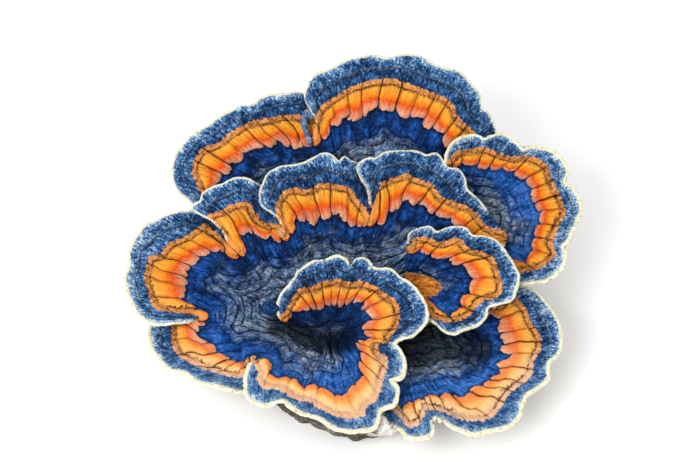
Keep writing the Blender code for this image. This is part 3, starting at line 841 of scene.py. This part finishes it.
    def border(self):
        """The vertices round the whole sheet, clockwise from the root."""
        chain = []
        for k, grid in enumerate(self.grids):
            joined = k > 0 and not self.patches[k].lobe.left
            if k == 0:
                chain.extend(grid[0, :-1])
            elif not joined:
                chain.extend(grid[0, PALM_ROWS + 1 : -1])
            chain.extend(grid[int(joined) :, -1])
            if k + 1 == len(self.grids):
                chain.extend(grid[-1, -2::-1])
            elif self.patches[k + 1].lobe.left:
                chain.extend(grid[-1, -2 : PALM_ROWS - 1 : -1])
        for grid in self.grids[::-1]:
            chain.extend(grid[-2::-1, 0])
        return np.array(chain[:-1])

    def openness(self):
        """One along the rim, falling to nothing at the inner ends of the clefts and at the root."""
        result = smoothstep(1.0, 6.0, distance(self.points[:, :2], self.root[:2]))
        for tip in [tip for patch in self.patches for tip in patch.tips]:
            result = result * smoothstep(0.0, 1.2, distance(self.points, tip))
        return result

    def relief(self):
        """How far each place of the upper side stands out, in mm."""
        place = self.points
        outer = self.past_outer
        step = self.plate - np.floor(self.plate)
        chance = np.modf(np.floor(self.plate) * GOLDEN)[0]
        across = 2 * step - 1
        petal = (arch(across) - PETAL_MIDDLE) * PETAL_LENGTH + (chance - 0.5) * PETAL_CHANCE
        petal += SPLIT_LENGTH * smoothstep(*SPLIT_CHANCE, chance) * (arch(saw(2 * step)) - PETAL_MIDDLE)
        petal = petal * (1 - CALM_PETALS * self.calm)

        half = self.from_rim / np.maximum(self.from_rim - outer, 0.5)
        waves = WAVES * cloud(place + 11, 3.2) * smoothstep(14, 2, self.from_rim)
        fuzz = FUZZ * cloud(place + 17, 0.9) * smoothstep(0.5, -0.5, outer)
        groove = GROOVE * hump(half - 0.55 + 0.08 * cloud(place, 5.0), 0.08) * smoothstep(0.2, -0.6, outer)
        ridge = RIDGE * smoothstep(-0.3, 0.4, outer) * smoothstep(TAN_WIDTH + 0.5, TAN_WIDTH, outer)
        ridge = ridge * (0.65 + 0.6 * cloud(place + 23, 1.3))
        skin = waves + fuzz - groove + ridge + ISLET_HEIGHT * smoothstep(-0.3, 0.4, self.islet)

        past_petal = self.past_inner - petal
        inside = smoothstep(0.0, 1.2, past_petal)
        grey = smoothstep(0.5, 6.0, self.past_inner)
        folded = inside * (0.35 + 0.65 * grey) * self.folds()
        return skin + self.plates(across, past_petal) + folded

    def plates(self, across, past_petal):
        """How far the orange plates stand out: pillows between partings, with a seam along the tan ridge."""
        outer = self.past_outer
        band = outer - past_petal
        seam = hump(outer - TAN_WIDTH, 0.28) * smoothstep(0, 1, band)
        t = np.clip((outer - TAN_WIDTH) / np.maximum(band - TAN_WIDTH, 1), 0, 1.5)
        on_plate = smoothstep(TAN_WIDTH - 0.1, TAN_WIDTH + 0.5, outer) * smoothstep(0.15, -0.30, past_petal)
        cut = 1 - CALM_CUTS * self.calm
        pillow = 0.30 + 0.42 * (1 - cut * across**4) + 0.25 * t + 0.15 * cloud(self.points + 29, 1.6)
        parted = cut * hump(1 - np.abs(across), 0.09)
        parted = parted * smoothstep(-0.6, 0.6, outer) * smoothstep(1.2, -0.4, self.past_inner)
        return on_plate * pillow - SEAM * seam - PARTING * parted

    def folds(self):
        """The skin's folds round the root, in mm: wandering rings that swell, pinch and part into pads."""
        place = self.points
        v = saw(self.ring)
        u = saw(self.pad_along / PAD_LENGTH + PAD_OFFSET * np.floor(self.ring))
        swell = 0.8 + 0.6 * cloud(place + 61, 4.0, 2)
        pad = (1 - np.abs(v) ** 2.5) * (1 - 0.6 * np.abs(u) ** 5) * swell
        return FOLD * pad + 0.7 * cloud(place + 53, 1.8) + 1.2 * cloud(place + 59, 6.0, 2) - 0.7


def mesh_object(name, verts, faces, *materials):
    """A smooth object, with its corners given in mm."""
    mesh = bpy.data.meshes.new(name)
    mesh.from_pydata((np.asarray(verts) * MM).tolist(), [], faces)
    for material in materials:
        mesh.materials.append(material)
    mesh.shade_smooth()
    obj = bpy.data.objects.new(name, mesh)
    bpy.context.scene.collection.objects.link(obj)
    return obj


def add_attribute(obj, name, *values):
    """Write three values by vertex into the object's mesh, for its material."""
    layer = obj.data.attributes.new(name, "FLOAT_VECTOR", "POINT")
    layer.data.foreach_set("vector", np.stack(values, axis=1).astype(np.float32).ravel())


def strip(upper, lower):
    """The faces between two closed rows of vertices."""
    return np.stack((upper, np.roll(upper, -1), np.roll(lower, -1), lower), axis=-1).tolist()


def lip_rings(sheet, normals, chain):
    """Rings of points that round off the sheet's edge, from its upper to its lower side."""
    edge = sheet.points[chain]
    up = normals[chain]
    outwards = unit(np.cross(up, np.roll(edge, -1, axis=0) - np.roll(edge, 1, axis=0)))
    swell = 1 + 0.5 * cloud(edge, 1.2) + 0.3 * smoothstep(*FRONT, edge[:, 1])
    bead = (LIP_RADIUS * swell * sheet.openness()[chain])[:, None]
    centre = edge - up * bead
    return [centre + bead * (up * math.sin(turn) + outwards * math.cos(turn)) for turn in LIP_TURNS]


def underside_points(sheet, normals, kept):
    """The kept vertices moved down through the cap, further near the root."""
    points = sheet.points[kept]
    inwards = np.clip(sheet.from_rim[kept] / THICKENING_REACH, 0, 1)
    thick = 2 * LIP_RADIUS + (ROOT_THICKNESS - 2 * LIP_RADIUS) * inwards
    return points - normals[kept] * (thick * (1 + 0.12 * cloud(points, 3.0)))[:, None]


def closing_faces(chain, ring, kept, under_start):
    """The faces that join the last ring of the lip to the coarser underside."""
    stops = np.flatnonzero(np.isin(chain, kept))
    faces = []
    for here, there in zip(stops, np.roll(stops, -1)):
        past = there + 1 if there > here else there + len(chain) + 1
        steps = np.arange(here, past) % len(chain)
        lower = under_start + np.searchsorted(kept, chain[[there, here]])
        faces.append((*ring[steps], *lower))
    return faces


def every_few(count, step):
    """Every few numbers below count, and always the last."""
    return np.unique(np.append(np.arange(0, count, step), count - 1))


def cap_object(node, sheet, skin, under_skin):
    """The closed fine mesh of a cap: the wrinkled upper side, a round lip, and the underside."""
    normals = sheet.normals()
    lift = sheet.relief() * smoothstep(0.0, 0.9, sheet.from_rim)
    top = sheet.points + normals * lift[:, None]
    chain = sheet.border()
    rings = lip_rings(sheet, normals, chain)
    picked = [grid[np.ix_(every_few(len(grid), UNDER_EVERY), UNDER_ROWS)] for grid in sheet.grids]
    kept = np.unique(np.concatenate([grid.ravel() for grid in picked]))
    under_start = len(top) + len(rings) * len(chain)

    faces = quads(sheet.grids).tolist()
    upper = chain
    for k in range(len(rings)):
        lower = len(top) + k * len(chain) + np.arange(len(chain))
        faces += strip(upper, lower)
        upper = lower
    skin_faces = len(faces)
    faces += quads([under_start + np.searchsorted(kept, grid) for grid in picked])[:, ::-1].tolist()
    faces += closing_faces(chain, upper, kept, under_start)

    verts = np.concatenate((top, *rings, underside_points(sheet, normals, kept)))
    obj = mesh_object(node + "_sheet", verts, faces, skin, under_skin)
    obj.data.polygons.foreach_set("material_index", (np.arange(len(faces)) >= skin_faces).astype(np.int32))
    source = np.concatenate((np.arange(len(top)), np.tile(chain, len(rings)), kept))
    fields = {
        "zone": (sheet.from_rim, sheet.past_outer, sheet.past_inner),
        "detail": (sheet.plate, sheet.ring, sheet.pad_along),
        "tone": (sheet.dark, sheet.pale, sheet.along),
        "more": (sheet.islet, sheet.front, sheet.calm),
        "ends": (sheet.cleft,) * 3,
    }
    for name, values in fields.items():
        add_attribute(obj, name, *[value[source] for value in values])
    obj.data.update()
    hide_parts(node)
    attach(obj, "root")
    return obj


def under_caps(trees, x, y):
    """How high the foot may rise at that place, in mm."""
    top = FOOT_HEIGHT + FOOT_SLANT * y
    for tree in trees:
        hit = tree.ray_cast(Vector((x, y, -1.0)) * MM, Vector((0, 0, 1)))[0]
        if hit:
            top = min(top, hit.z / MM - FOOT_GAP)
    return max(top, FOOT_LEAST)


def foot_ring(trees, angle, reach, rise):
    """One ring of the foot: that far out, and that share of the way up to the caps."""
    x = FOOT_CENTRE[0] + reach * np.cos(angle)
    y = FOOT_CENTRE[1] + reach * np.sin(angle)
    z = [rise * under_caps(trees, *place) for place in zip(x, y)]
    ring = np.stack((x, y, z), axis=1)
    bulge = (1.3 * cloud(ring, 6.0) + 0.5 * cloud(ring + 19, 1.8)) * smoothstep(0, 0.1, rise) * (rise < 1)
    ring[:, 0] += bulge * np.cos(angle)
    ring[:, 1] += bulge * np.sin(angle)
    return ring


def foot_object(caps, tissue):
    """The foot: its cut on the floor, a lumpy wall that flares, and a top pressed up under the caps."""
    depsgraph = bpy.context.evaluated_depsgraph_get()
    trees = [BVHTree.FromObject(cap, depsgraph) for cap in caps]
    angle = np.linspace(-math.pi, math.pi, FOOT_TURNS, endpoint=False)
    lumps = sum(height * np.sin(count * angle + start) for height, count, start in FOOT_WAVES)
    arm = FOOT_ARM_REACH * hump(angle - FOOT_ARM_TURN, FOOT_ARM_SPREAD)
    radius = FOOT_RADIUS + lumps + arm
    rings = [(radius + FOOT_FLARE * part, part) for part in np.linspace(0, 1, FOOT_WALL_ROWS + 1)]
    rings += [((radius + FOOT_FLARE) * part, 1.0) for part in np.linspace(1, 0, FOOT_WALL_ROWS)[1:-1]]
    top = np.array([[*FOOT_CENTRE, under_caps(trees, *FOOT_CENTRE)]])
    verts = np.concatenate([*(foot_ring(trees, angle, reach, rise) for reach, rise in rings), top])
    rows = np.arange(len(rings) * FOOT_TURNS).reshape(len(rings), FOOT_TURNS)
    faces = [face for low, high in zip(rows, rows[1:]) for face in strip(low, high)]
    faces += [(here, there, len(verts) - 1) for here, there in zip(rows[-1], np.roll(rows[-1], -1))]
    faces.append(rows[0, ::-1].tolist())
    obj = mesh_object("foot_body", verts, faces, tissue)
    white = smoothstep(MYCELIUM_REACH, 0.4 * MYCELIUM_REACH, distance(verts, MYCELIUM))
    add_attribute(obj, "white", white, white, white)
    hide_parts("foot")
    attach(obj, "root")


def lump(name, marks, skin):
    """A lump that follows the marks, round across, with uneven thickness and closed ends."""
    path = np.array([placed(mark[:3]) for mark in marks])
    radii = np.array([mark[3] for mark in marks])
    length = running_length(path)
    spine = even_curve(path, LUMP_STEP)
    place = np.linspace(0, length[-1], len(spine))
    end = np.sqrt(np.clip(np.minimum(place, length[-1] - place) / radii.max(), 0.02, 1))
    thick = np.interp(place, length, radii) * end * (1 + 0.2 * cloud(spine, 1.5))
    ahead = unit(np.gradient(spine, axis=0))
    side = unit(np.cross(ahead, (0.0, 0.0, 1.0)))
    up = np.cross(side, ahead)
    turns = np.linspace(0, 2 * math.pi, LUMP_SIDES, endpoint=False)
    around = side[:, None] * np.cos(turns)[None, :, None] + up[:, None] * np.sin(turns)[None, :, None]
    verts = spine[:, None] + around * thick[:, None, None]
    grid = np.arange(len(spine) * LUMP_SIDES).reshape(len(spine), LUMP_SIDES)
    beside = np.roll(grid, -1, axis=1)
    faces = np.stack((grid[:-1], grid[1:], beside[1:], beside[:-1]), axis=-1).reshape(-1, 4).tolist()
    faces += [grid[0].tolist(), grid[-1, ::-1].tolist()]
    obj = mesh_object(name, verts.reshape(-1, 3), faces, skin)
    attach(obj, "root")


def light_of(colour):
    """The light that a colour of the screen stands for."""
    shares = [part / 255 for part in colour]
    return tuple(share / 12.92 if share < 0.0404 else ((share + 0.055) / 1.055) ** 2.4 for share in shares)


class Value:
    """What a material's node gives. Sums with it make more nodes."""

    def __init__(self, shader, socket):
        self.shader = shader
        self.socket = socket

    def __add__(self, other):
        return self.shader.maths("ADD", self, other)

    def __sub__(self, other):
        return self.shader.maths("SUBTRACT", self, other)

    def __rsub__(self, other):
        return self.shader.maths("SUBTRACT", other, self)

    def __mul__(self, other):
        return self.shader.maths("MULTIPLY", self, other)

    def __truediv__(self, other):
        return self.shader.maths("DIVIDE", self, other)

    __radd__ = __add__
    __rmul__ = __mul__

    def __abs__(self):
        return self.shader.maths("ABSOLUTE", self)

    def at_least(self, other):
        return self.shader.maths("MAXIMUM", self, other)

    def floor(self):
        return self.shader.maths("FLOOR", self)

    def fraction(self):
        return self.shader.maths("FRACT", self)

    def saw(self):
        """From -1 to 1 along each whole step."""
        return 2 * self.fraction() - 1

    def arch(self):
        return self.shader.maths("SQRT", (1 - self * self).at_least(0))

    def step(self, low, high):
        """Nothing at low, one at high, and smooth between them."""
        values = {"Value": self, "From Min": low, "From Max": high}
        return self.shader.node("MapRange", values, interpolation_type="SMOOTHSTEP")

    def window(self, low, rise, fall, high):
        """One from rise to fall, nothing below low and above high."""
        return self.step(low, rise) * self.step(high, fall)

    def ramp(self, tones):
        colours = self.shader.node("ValToRGB", {0: self})
        elements = colours.socket.node.color_ramp.elements
        while len(elements) < len(tones):
            elements.new(0.5)
        for element, (position, *colour) in zip(elements, tones):
            element.position = position
            element.color = (*light_of(colour), 1.0)
        return colours


class Shader:
    """A few short ways to write a material's nodes. Colours are given as a screen shows them."""

    def __init__(self, name):
        self.material = bpy.data.materials.new(name)
        self.material.use_nodes = True
        self.tree = self.material.node_tree
        self.surface = self.tree.nodes["Principled BSDF"].inputs
        self.place = self.node("TexCoord", {}, "Object")

    def node(self, kind, values, output=0, **settings):
        """What a node gives, with those settings, and those values or links on its sockets."""
        node = self.tree.nodes.new("ShaderNode" + kind)
        for name, setting in settings.items():
            setattr(node, name, setting)
        for socket, value in values.items():
            self.fill(node.inputs[socket], value)
        return Value(self, node.outputs[output])

    def fill(self, socket, value):
        if isinstance(value, Value):
            self.tree.links.new(value.socket, socket)
        else:
            socket.default_value = value

    def maths(self, operation, *values):
        return self.node("Math", dict(enumerate(values)), operation=operation)

    def mix(self, share, first, second, blend="MIX"):
        if isinstance(second, tuple):
            second = (*light_of(second), 1.0)
        return self.node("Mix", {0: share, 6: first, 7: second}, 2, data_type="RGBA", blend_type=blend)

    def noise(self, size, detail=2.0, roughness=0.6, place=None):
        """Noise with lumps of about that size in mm, from 0 to 1."""
        scale = 1 / size if place else 1 / (size * MM)
        values = {"Vector": place or self.place, "Scale": scale, "Detail": detail, "Roughness": roughness}
        return self.node("TexNoise", values)

    def wandering(self, size, reach):
        """The place, pushed about by noise of that size in mm, up to that far in mm."""
        push = self.node("TexNoise", {"Vector": self.place, "Scale": 1 / (size * MM)}, "Color")
        values = {0: push, 1: (reach * MM,) * 3, 2: self.place}
        return self.node("VectorMath", values, operation="MULTIPLY_ADD")

    def cells(self, size, place):
        """Cells of about that size in mm: how far from the cell's edge, and a chance value for each cell."""
        values = {"Vector": place, "Scale": 1 / (size * MM)}
        edge = self.node("TexVoronoi", values, "Distance", feature="DISTANCE_TO_EDGE")
        return edge, self.parts(self.node("TexVoronoi", values, "Color"))[0]

    def vector(self, x, y):
        return self.node("CombineXYZ", {0: x, 1: y})

    def parts(self, vector):
        first = self.node("SeparateXYZ", {0: vector})
        return [Value(self, socket) for socket in first.socket.node.outputs]

    def attribute(self, name):
        return self.parts(self.node("Attribute", {}, "Vector", attribute_name=name))

    def finish(self, colour, roughness, gloss, height, depth):
        """Give the surface its colour, roughness and gloss, and a bump that deep in mm."""
        self.fill(self.surface["Base Color"], colour)
        self.surface["Roughness"].default_value = roughness
        self.surface["Specular IOR Level"].default_value = gloss
        bump = self.node("Bump", {"Height": height, "Distance": depth * MM})
        self.fill(self.surface["Normal"], bump)
        return self.material


class CapSkin(Shader):
    """The upper side: cream rim, velvety blue, tan ridge, orange plates, royal blue, grey folded middle."""

    def __init__(self):
        super().__init__("cap_skin")
        self.from_rim, self.past_outer, self.past_inner = self.attribute("zone")
        self.plate, self.ring, self.pad_along = self.attribute("detail")
        self.dark, self.pale, self.along = self.attribute("tone")
        self.islet, self.front, self.calm = self.attribute("more")
        self.cleft = self.attribute("ends")[0]
        self.near_front = self.front.step(0.60, 0.95)
        self.cut = 1 - CALM_CUTS * self.calm
        self.grain = self.noise(0.38, 3.0, 0.7)
        self.speck = self.noise(0.8)
        self.patch = self.noise(2.6, 3.0)
        self.drift = self.noise(8.0, 2.0, 0.5)
        self.chance = (GOLDEN * self.plate.floor()).fraction()
        self.across = abs(self.plate.saw())
        self.petal = self.petal_ends()
        width = (self.past_outer - self.past_inner + self.petal - TAN_WIDTH).at_least(1)
        self.t = (self.past_outer - TAN_WIDTH) / width
        self.streak = self.noise(0.13, 3.0, 0.65, self.vector(self.plate, 0.22 * self.t))
        self.ripple = self.noise(1.0, place=self.vector(0.30 * self.pad_along, 3.2 * self.ring))
        self.pad_edge, self.pad_chance = self.cells(PAD_SIZE, self.wandering(3.5, 2.6))

    def build(self):
        """Lay the zones over each other, from the rim inwards, and the pale rim last."""
        ragged = self.past_outer + 1.5 * (self.speck - 0.5) + 0.8 * (self.patch - 0.5)
        ridge = self.tan_ridge()
        colour = self.mix(ragged.step(-0.25, 0.25), self.velvet(), ridge)
        colour = self.mix(ragged.step(TAN_WIDTH - 0.1, TAN_WIDTH + 0.3), colour, self.plates())
        seam = (2.4 * abs(ragged - TAN_WIDTH)).step(0.9, 0.2) * self.patch.step(0.40, 0.56) * self.cut
        colour = self.mix(0.85 * seam * (1 - 0.9 * self.cleft), colour, PLATE_SEAM)
        crack = self.plate_cracks()
        colour = self.mix(0.9 * crack, colour, PLATE_CRACK)

        fade = self.past_inner + 12 * (self.drift - 0.5) + 6 * (self.patch - 0.5)
        folds = self.fold_cracks() * fade.step(1, 5)
        past_petal = self.past_inner - self.petal
        colour = self.mix(past_petal.step(-0.06, 0.1), colour, self.middle(fade, folds))
        # painted shadow of the petal ends on the skin just inside them
        colour = self.mix(0.7 * past_petal.window(0, 0.15, 0.2, 1.3), colour, PETAL_SHADOW)
        colour = self.pale_rim(self.lone_patch(colour, ridge))

        pillow = self.pad_edge.step(0, 0.30)
        height = (1.2 * self.ripple - folds + 0.9 * pillow) * self.past_inner.step(0.5, 4)
        height = height + 0.7 * self.grain + 0.6 * self.speck + 0.6 * self.streak - 0.8 * crack
        return self.finish(colour, 0.8, 0.06, height, 0.6)

    def petal_ends(self):
        """How far each plate's rounded end reaches inwards, in mm."""
        petal = PETAL_LENGTH * (self.across.arch() - PETAL_MIDDLE) + PETAL_CHANCE * (self.chance - 0.5)
        halves = (2 * self.plate.fraction()).saw().arch() - PETAL_MIDDLE
        petal = petal + SPLIT_LENGTH * self.chance.step(*SPLIT_CHANCE) * halves
        return petal * (1 - CALM_PETALS * self.calm) + 0.8 * (self.speck - 0.5)

    def velvet(self):
        """Blue fuzz with a thin dark line half way, smoother further in and in front, lighter at the sides
        and in front partly as painted light.
        """
        half = self.from_rim / (self.from_rim - self.past_outer) + 0.35 * (self.patch - 0.5)
        tuft = self.noise(0.55, 3.0, 0.65, self.vector(1.2 * self.along, 0.38 * self.from_rim))
        tone = 0.62 * self.grain + 0.62 * tuft + 0.24 * self.speck + 0.42 * self.patch + 0.14 * self.drift
        tone = tone + 0.08 * self.from_rim.step(2, 0.2) - 0.01 * self.past_outer.step(-2.4, -0.1)
        # pale lightens the fuzz at the sides and in front, partly paler fibres and partly painted light; a
        # cap's own pale is painted light
        tone = tone + 0.055 * self.pale - 0.016 * half.step(0.52, 0.66) - 0.524
        tone = tone - 0.36 * (self.grain - 0.5) * half.step(0.56, 0.70)
        # lighter, flatter fuzz in front: partly whitish fibres, partly painted light
        tone = tone * (1 - 0.25 * self.near_front) + 0.175 * self.near_front
        line = half.window(0.42, 0.52, 0.54, 0.64) * self.speck.step(0.40, 0.60)
        colour = self.mix(0.35 * line, tone.ramp(VELVET), VELVET_LINE)
        wavy = half + 0.16 * (self.speck - 0.5)
        line = wavy.window(0.51, 0.56, 0.59, 0.65) * self.drift.step(0.34, 0.50)
        colour = self.mix(line * (0.75 - 0.6 * self.near_front), colour, VELVET_DARK_LINE)
        crease = self.across.step(0.90, 0.98) * self.chance.step(0.55, 0.95) * self.patch.step(0.42, 0.55)
        return self.mix(0.75 * crease, colour, VELVET_CREASE)

    def tan_ridge(self):
        """The knobbly tan line outside the plates, more orange at the clefts and paler in front."""
        ridge = (0.5 * self.speck + 0.3 * self.grain + 0.2 * self.patch).ramp(TAN)
        ridge = self.mix(0.5 * self.patch.step(0.45, 0.60), ridge, TAN_GLOW)
        ridge = self.mix(0.8 * self.cleft, ridge, TAN_AT_CLEFTS)
        return self.mix(0.65 * self.near_front, ridge, TAN_IN_FRONT)

    def plates(self):
        """Orange that deepens inwards and ends salmon, in front peach that deepens, with fine streaks;
        lighter in front, partly as painted light, with painted shade along the plates' sides.
        """
        warm = self.t + 0.20 * (self.streak - 0.5) + 0.34 * (self.patch - 0.5)
        orange = self.mix(0.85 * self.near_front, warm.ramp(ORANGE), warm.ramp(PEACH))
        shade = (0.7 * self.streak + 0.3 * self.grain).ramp(PLATE_SHADE)
        # fewer streaks and lighter in front: partly paler colour, partly painted light on the front slopes
        orange = self.mix(0.65 - 0.30 * self.front, orange, shade, "MULTIPLY")
        orange = self.mix(0.18 * self.front, orange, ORANGE_PALE_AND_LIT_IN_FRONT)
        # painted shade along the plates' sides
        side = self.across.step(0.55, 1) * self.patch.step(0.4, 0.6) * self.cut
        return self.mix(0.35 * side, orange, PLATE_SIDE_SHADE)

    def plate_cracks(self):
        """The dark cracks between plates, stronger at some than at others."""
        edge = self.across + 0.10 * (self.speck - 0.5) + 0.05 * (self.chance - 0.5)
        crack = edge.step(0.84, 0.95) * self.past_outer.step(-0.8, 0.3)
        return crack * self.chance.step(0.25, 0.85).at_least(0.15) * self.cut

    def fold_cracks(self):
        """The cracks of the folded middle: between rings, across them, and round the pads."""
        number = self.ring.floor()
        row = self.pad_along / PAD_LENGTH + PAD_OFFSET * number
        row_chance = (GOLDEN * row.floor() + PLASTIC * number).fraction()
        v = abs(self.ring.saw()) + 0.24 * (self.speck - 0.5)
        u = abs(row.saw()) + 0.14 * (self.speck - 0.5)
        rings = v.step(0.80, 1) * self.patch.step(0.40, 0.56)
        rows = 0.8 * u.step(0.88, 0.98) * row_chance.step(0.2, 0.6)
        pads = (self.pad_edge + 0.08 * (self.grain - 0.5)).step(0.075, 0.015)
        return rings.at_least(rows).at_least(0.35 * pads * self.drift.step(0.30, 0.46))

    def middle(self, fade, folds):
        """Royal blue that fades into grey folds, with gleams, fold cracks darkened as painted shade in the
        creases, radial cracks, and painted shade in the dark hollows.
        """
        colour = self.mix(fade.step(3, 10), self.royal(), self.grey())
        gleam = self.ring.saw().window(-0.96, -0.80, -0.68, -0.50) * self.speck.step(0.46, 0.60)
        colour = self.mix(0.5 * gleam * fade.step(2, 7), colour, FOLD_GLEAM)
        # painted shade: the fold cracks darkened where the creases lie in shade
        colour = self.mix(0.9 * folds, colour, FOLD_CREASE_SHADE)
        rays = self.across.step(0.92, 0.985) * self.chance.step(0.15, 0.5) * self.past_inner.step(13, 8)
        colour = self.mix(0.7 * rays, colour, RAY_CRACK)
        # painted shade in the hollows round the hollow lines
        return self.mix(0.86 * self.dark, colour, HOLLOW_SHADE)

    def royal(self):
        """Royal blue in rays, duller in places, lighter and less dull in front and lighter at the sides,
        partly as painted light.
        """
        rays = self.noise(0.9, 2.0, 0.5, self.vector(self.along, 0.15 * self.past_inner))
        tone = 0.28 * self.grain + 0.16 * self.speck + 0.46 * self.patch + 0.30 * rays + 0.22 * self.ripple
        # pale and front lighten the royal blue and lessen its dullness, partly as painted light
        royal = (tone + 0.12 * self.pale + 0.09 * self.front - 0.228).ramp(ROYAL)
        dull = self.drift.step(0.44, 0.60) * (0.7 - 0.5 * self.front)
        return self.mix(dull, royal, self.mix(0.5, royal, ROYAL_DULL))

    def grey(self):
        """Bluish grey, lighter on the crests of the folds as painted light, lighter at the sides and in
        front partly as painted light, with some earthy spots.
        """
        v = self.ring.saw()
        tone = 0.32 * self.grain + 0.42 * self.patch + 0.56 * self.ripple + 0.18 * self.speck
        # painted light: lighter on the crests of the rings, darker towards the cracks
        tone = tone + 0.08 * (1 - v * v) + 0.10 * self.pad_chance
        tone = tone + 0.02 * self.pad_edge.window(0.03, 0.09, 0.10, 0.24)
        # pale and front lighten the grey, partly as painted light
        grey = (tone + 0.07 * self.pale + 0.07 * self.front - 0.288).ramp(GREY)
        return self.mix(0.45 * self.drift.step(0.50, 0.66) * self.speck.step(0.42, 0.58), grey, GREY_EARTH)

    def lone_patch(self, colour, ridge):
        """The orange patch in the small fan, with a tan edge."""
        inwards = self.islet + 0.9 * (self.speck - 0.5)
        lone = (0.5 * self.streak + 0.5 * self.speck).ramp(ISLET_TONES)
        return self.mix(inwards.step(-0.1, 0.1), colour, self.mix(inwards.step(1.3, 0.5), lone, ridge))

    def pale_rim(self, colour):
        """The ragged cream rim, wider at the sides and in front."""
        cream = (0.6 * self.speck + 0.4 * self.grain).ramp(CREAM)
        ragged = self.from_rim + (self.grain - 0.5) + 1.3 * (self.speck - 0.5)
        ragged = ragged - 0.20 * self.pale - 0.30 * self.near_front
        return self.mix(ragged.step(RIM_WIDTH + 0.15, RIM_WIDTH - 0.15), colour, cream)


def underside():
    """The pored underside, pale at the rim and grey-brown further in, with painted shade along the hollow
    lines.
    """
    s = Shader("underside")
    colour = (0.5 * s.noise(0.5, 3.0, 0.7) + 0.5 * s.noise(5.0, 3.0)).ramp(PORED)
    colour = s.mix(s.attribute("zone")[0].step(2, 22), colour, s.mix(0.5, colour, UNDER_BROWN))
    # painted shade along the hollow lines
    colour = s.mix(s.attribute("tone")[0], colour, UNDER_SHADE)
    pores = s.node("TexVoronoi", {"Vector": s.place, "Scale": 1 / (0.5 * MM)}, "Distance")
    return s.finish(colour, 0.9, 0.1, pores, 0.25)


def foot_tissue():
    """The tissue below the caps: lumpy, grey-brown, with a whitish patch of mycelium in front."""
    s = Shader("foot_tissue")
    grain = s.noise(0.6, 3.0, 0.7)
    patch = s.noise(3.5, 3.0)
    tone = 0.55 * grain + 0.45 * patch
    share = (s.attribute("white")[0] + 0.8 * (grain - 0.5)).step(0.35, 0.65)
    return s.finish(s.mix(share, tone.ramp(TISSUE), tone.ramp(CHALK)), 0.9, 0.1, grain + patch, 0.6)


def lump_skin(name, tones):
    """Skin of the small curled lumps, mottled with the given tones."""
    s = Shader(name)
    tone = 0.6 * s.noise(0.45, 3.0, 0.7) + 0.4 * s.noise(1.3)
    return s.finish(tone.ramp(tones), 0.8, 0.06, tone, 0.5)


def studio():
    """A plain pale floor, an even white surround and one soft lamp."""
    side = 3000.0
    paper = Shader("floor_paper")
    paper.surface["Base Color"].default_value = (0.93, 0.93, 0.93, 1.0)
    paper.surface["Roughness"].default_value = 0.9
    corners = [(-side, -side, 0), (side, -side, 0), (side, side, 0), (-side, side, 0)]
    floor = mesh_object("floor", corners, [(0, 1, 2, 3)], paper.material)
    world = bpy.data.worlds.new("studio")
    bpy.context.scene.world = world
    world.use_nodes = True
    background = world.node_tree.nodes["Background"]
    background.inputs["Color"].default_value = (1.0, 1.0, 1.0, 1.0)
    background.inputs["Strength"].default_value = 1.05
    lamp = bpy.data.lights.new("key", "AREA")
    lamp.shape = "DISK"
    lamp.size = 0.34
    lamp.energy = 2.0
    key = bpy.data.objects.new("key", lamp)
    key.location = (-0.24, -0.30, 0.36)
    aim = Vector((0.0, 0.02, 0.01))
    key.rotation_euler = (aim - key.location).to_track_quat("-Z", "Y").to_euler()
    bpy.context.scene.collection.objects.link(key)
    bpy.context.scene.view_settings.view_transform = "Standard"


def camera():
    """The camera that sees the cluster as the picture does."""
    lens = bpy.data.cameras.new("camera")
    lens.lens = LENS
    lens.sensor_width = SENSOR
    lens.clip_start = 0.01
    obj = bpy.data.objects.new("camera", lens)
    obj.location = Vector(EYE) * MM
    obj.rotation_euler = (math.pi / 2 - VIEW_TILT, 0, 0)
    bpy.context.scene.collection.objects.link(obj)
    bpy.context.scene.camera = obj


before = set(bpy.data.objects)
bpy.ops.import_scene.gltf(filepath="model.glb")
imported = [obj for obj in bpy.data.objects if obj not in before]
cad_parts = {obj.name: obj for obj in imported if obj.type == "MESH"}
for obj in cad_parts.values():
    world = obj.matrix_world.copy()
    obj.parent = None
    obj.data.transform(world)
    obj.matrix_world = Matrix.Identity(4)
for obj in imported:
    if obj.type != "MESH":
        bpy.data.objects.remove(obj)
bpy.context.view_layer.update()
camera()
studio()
skins = (CapSkin().build(), underside())
caps = [cap_object(node, Sheet(cap), *skins) for node, cap in CAPS.items()]
foot_object(caps, foot_tissue())
slate = lump_skin("slate_skin", SLATE_LUMP)
lump("back_ribbon", RIBBON, slate)
lump("main_tongue", TONGUE, lump_skin("royal_skin", ROYAL_LUMP))
lump("main_curl", CURL, slate)
lump("main_nub", NUB, lump_skin("tan_skin", TAN_LUMP))
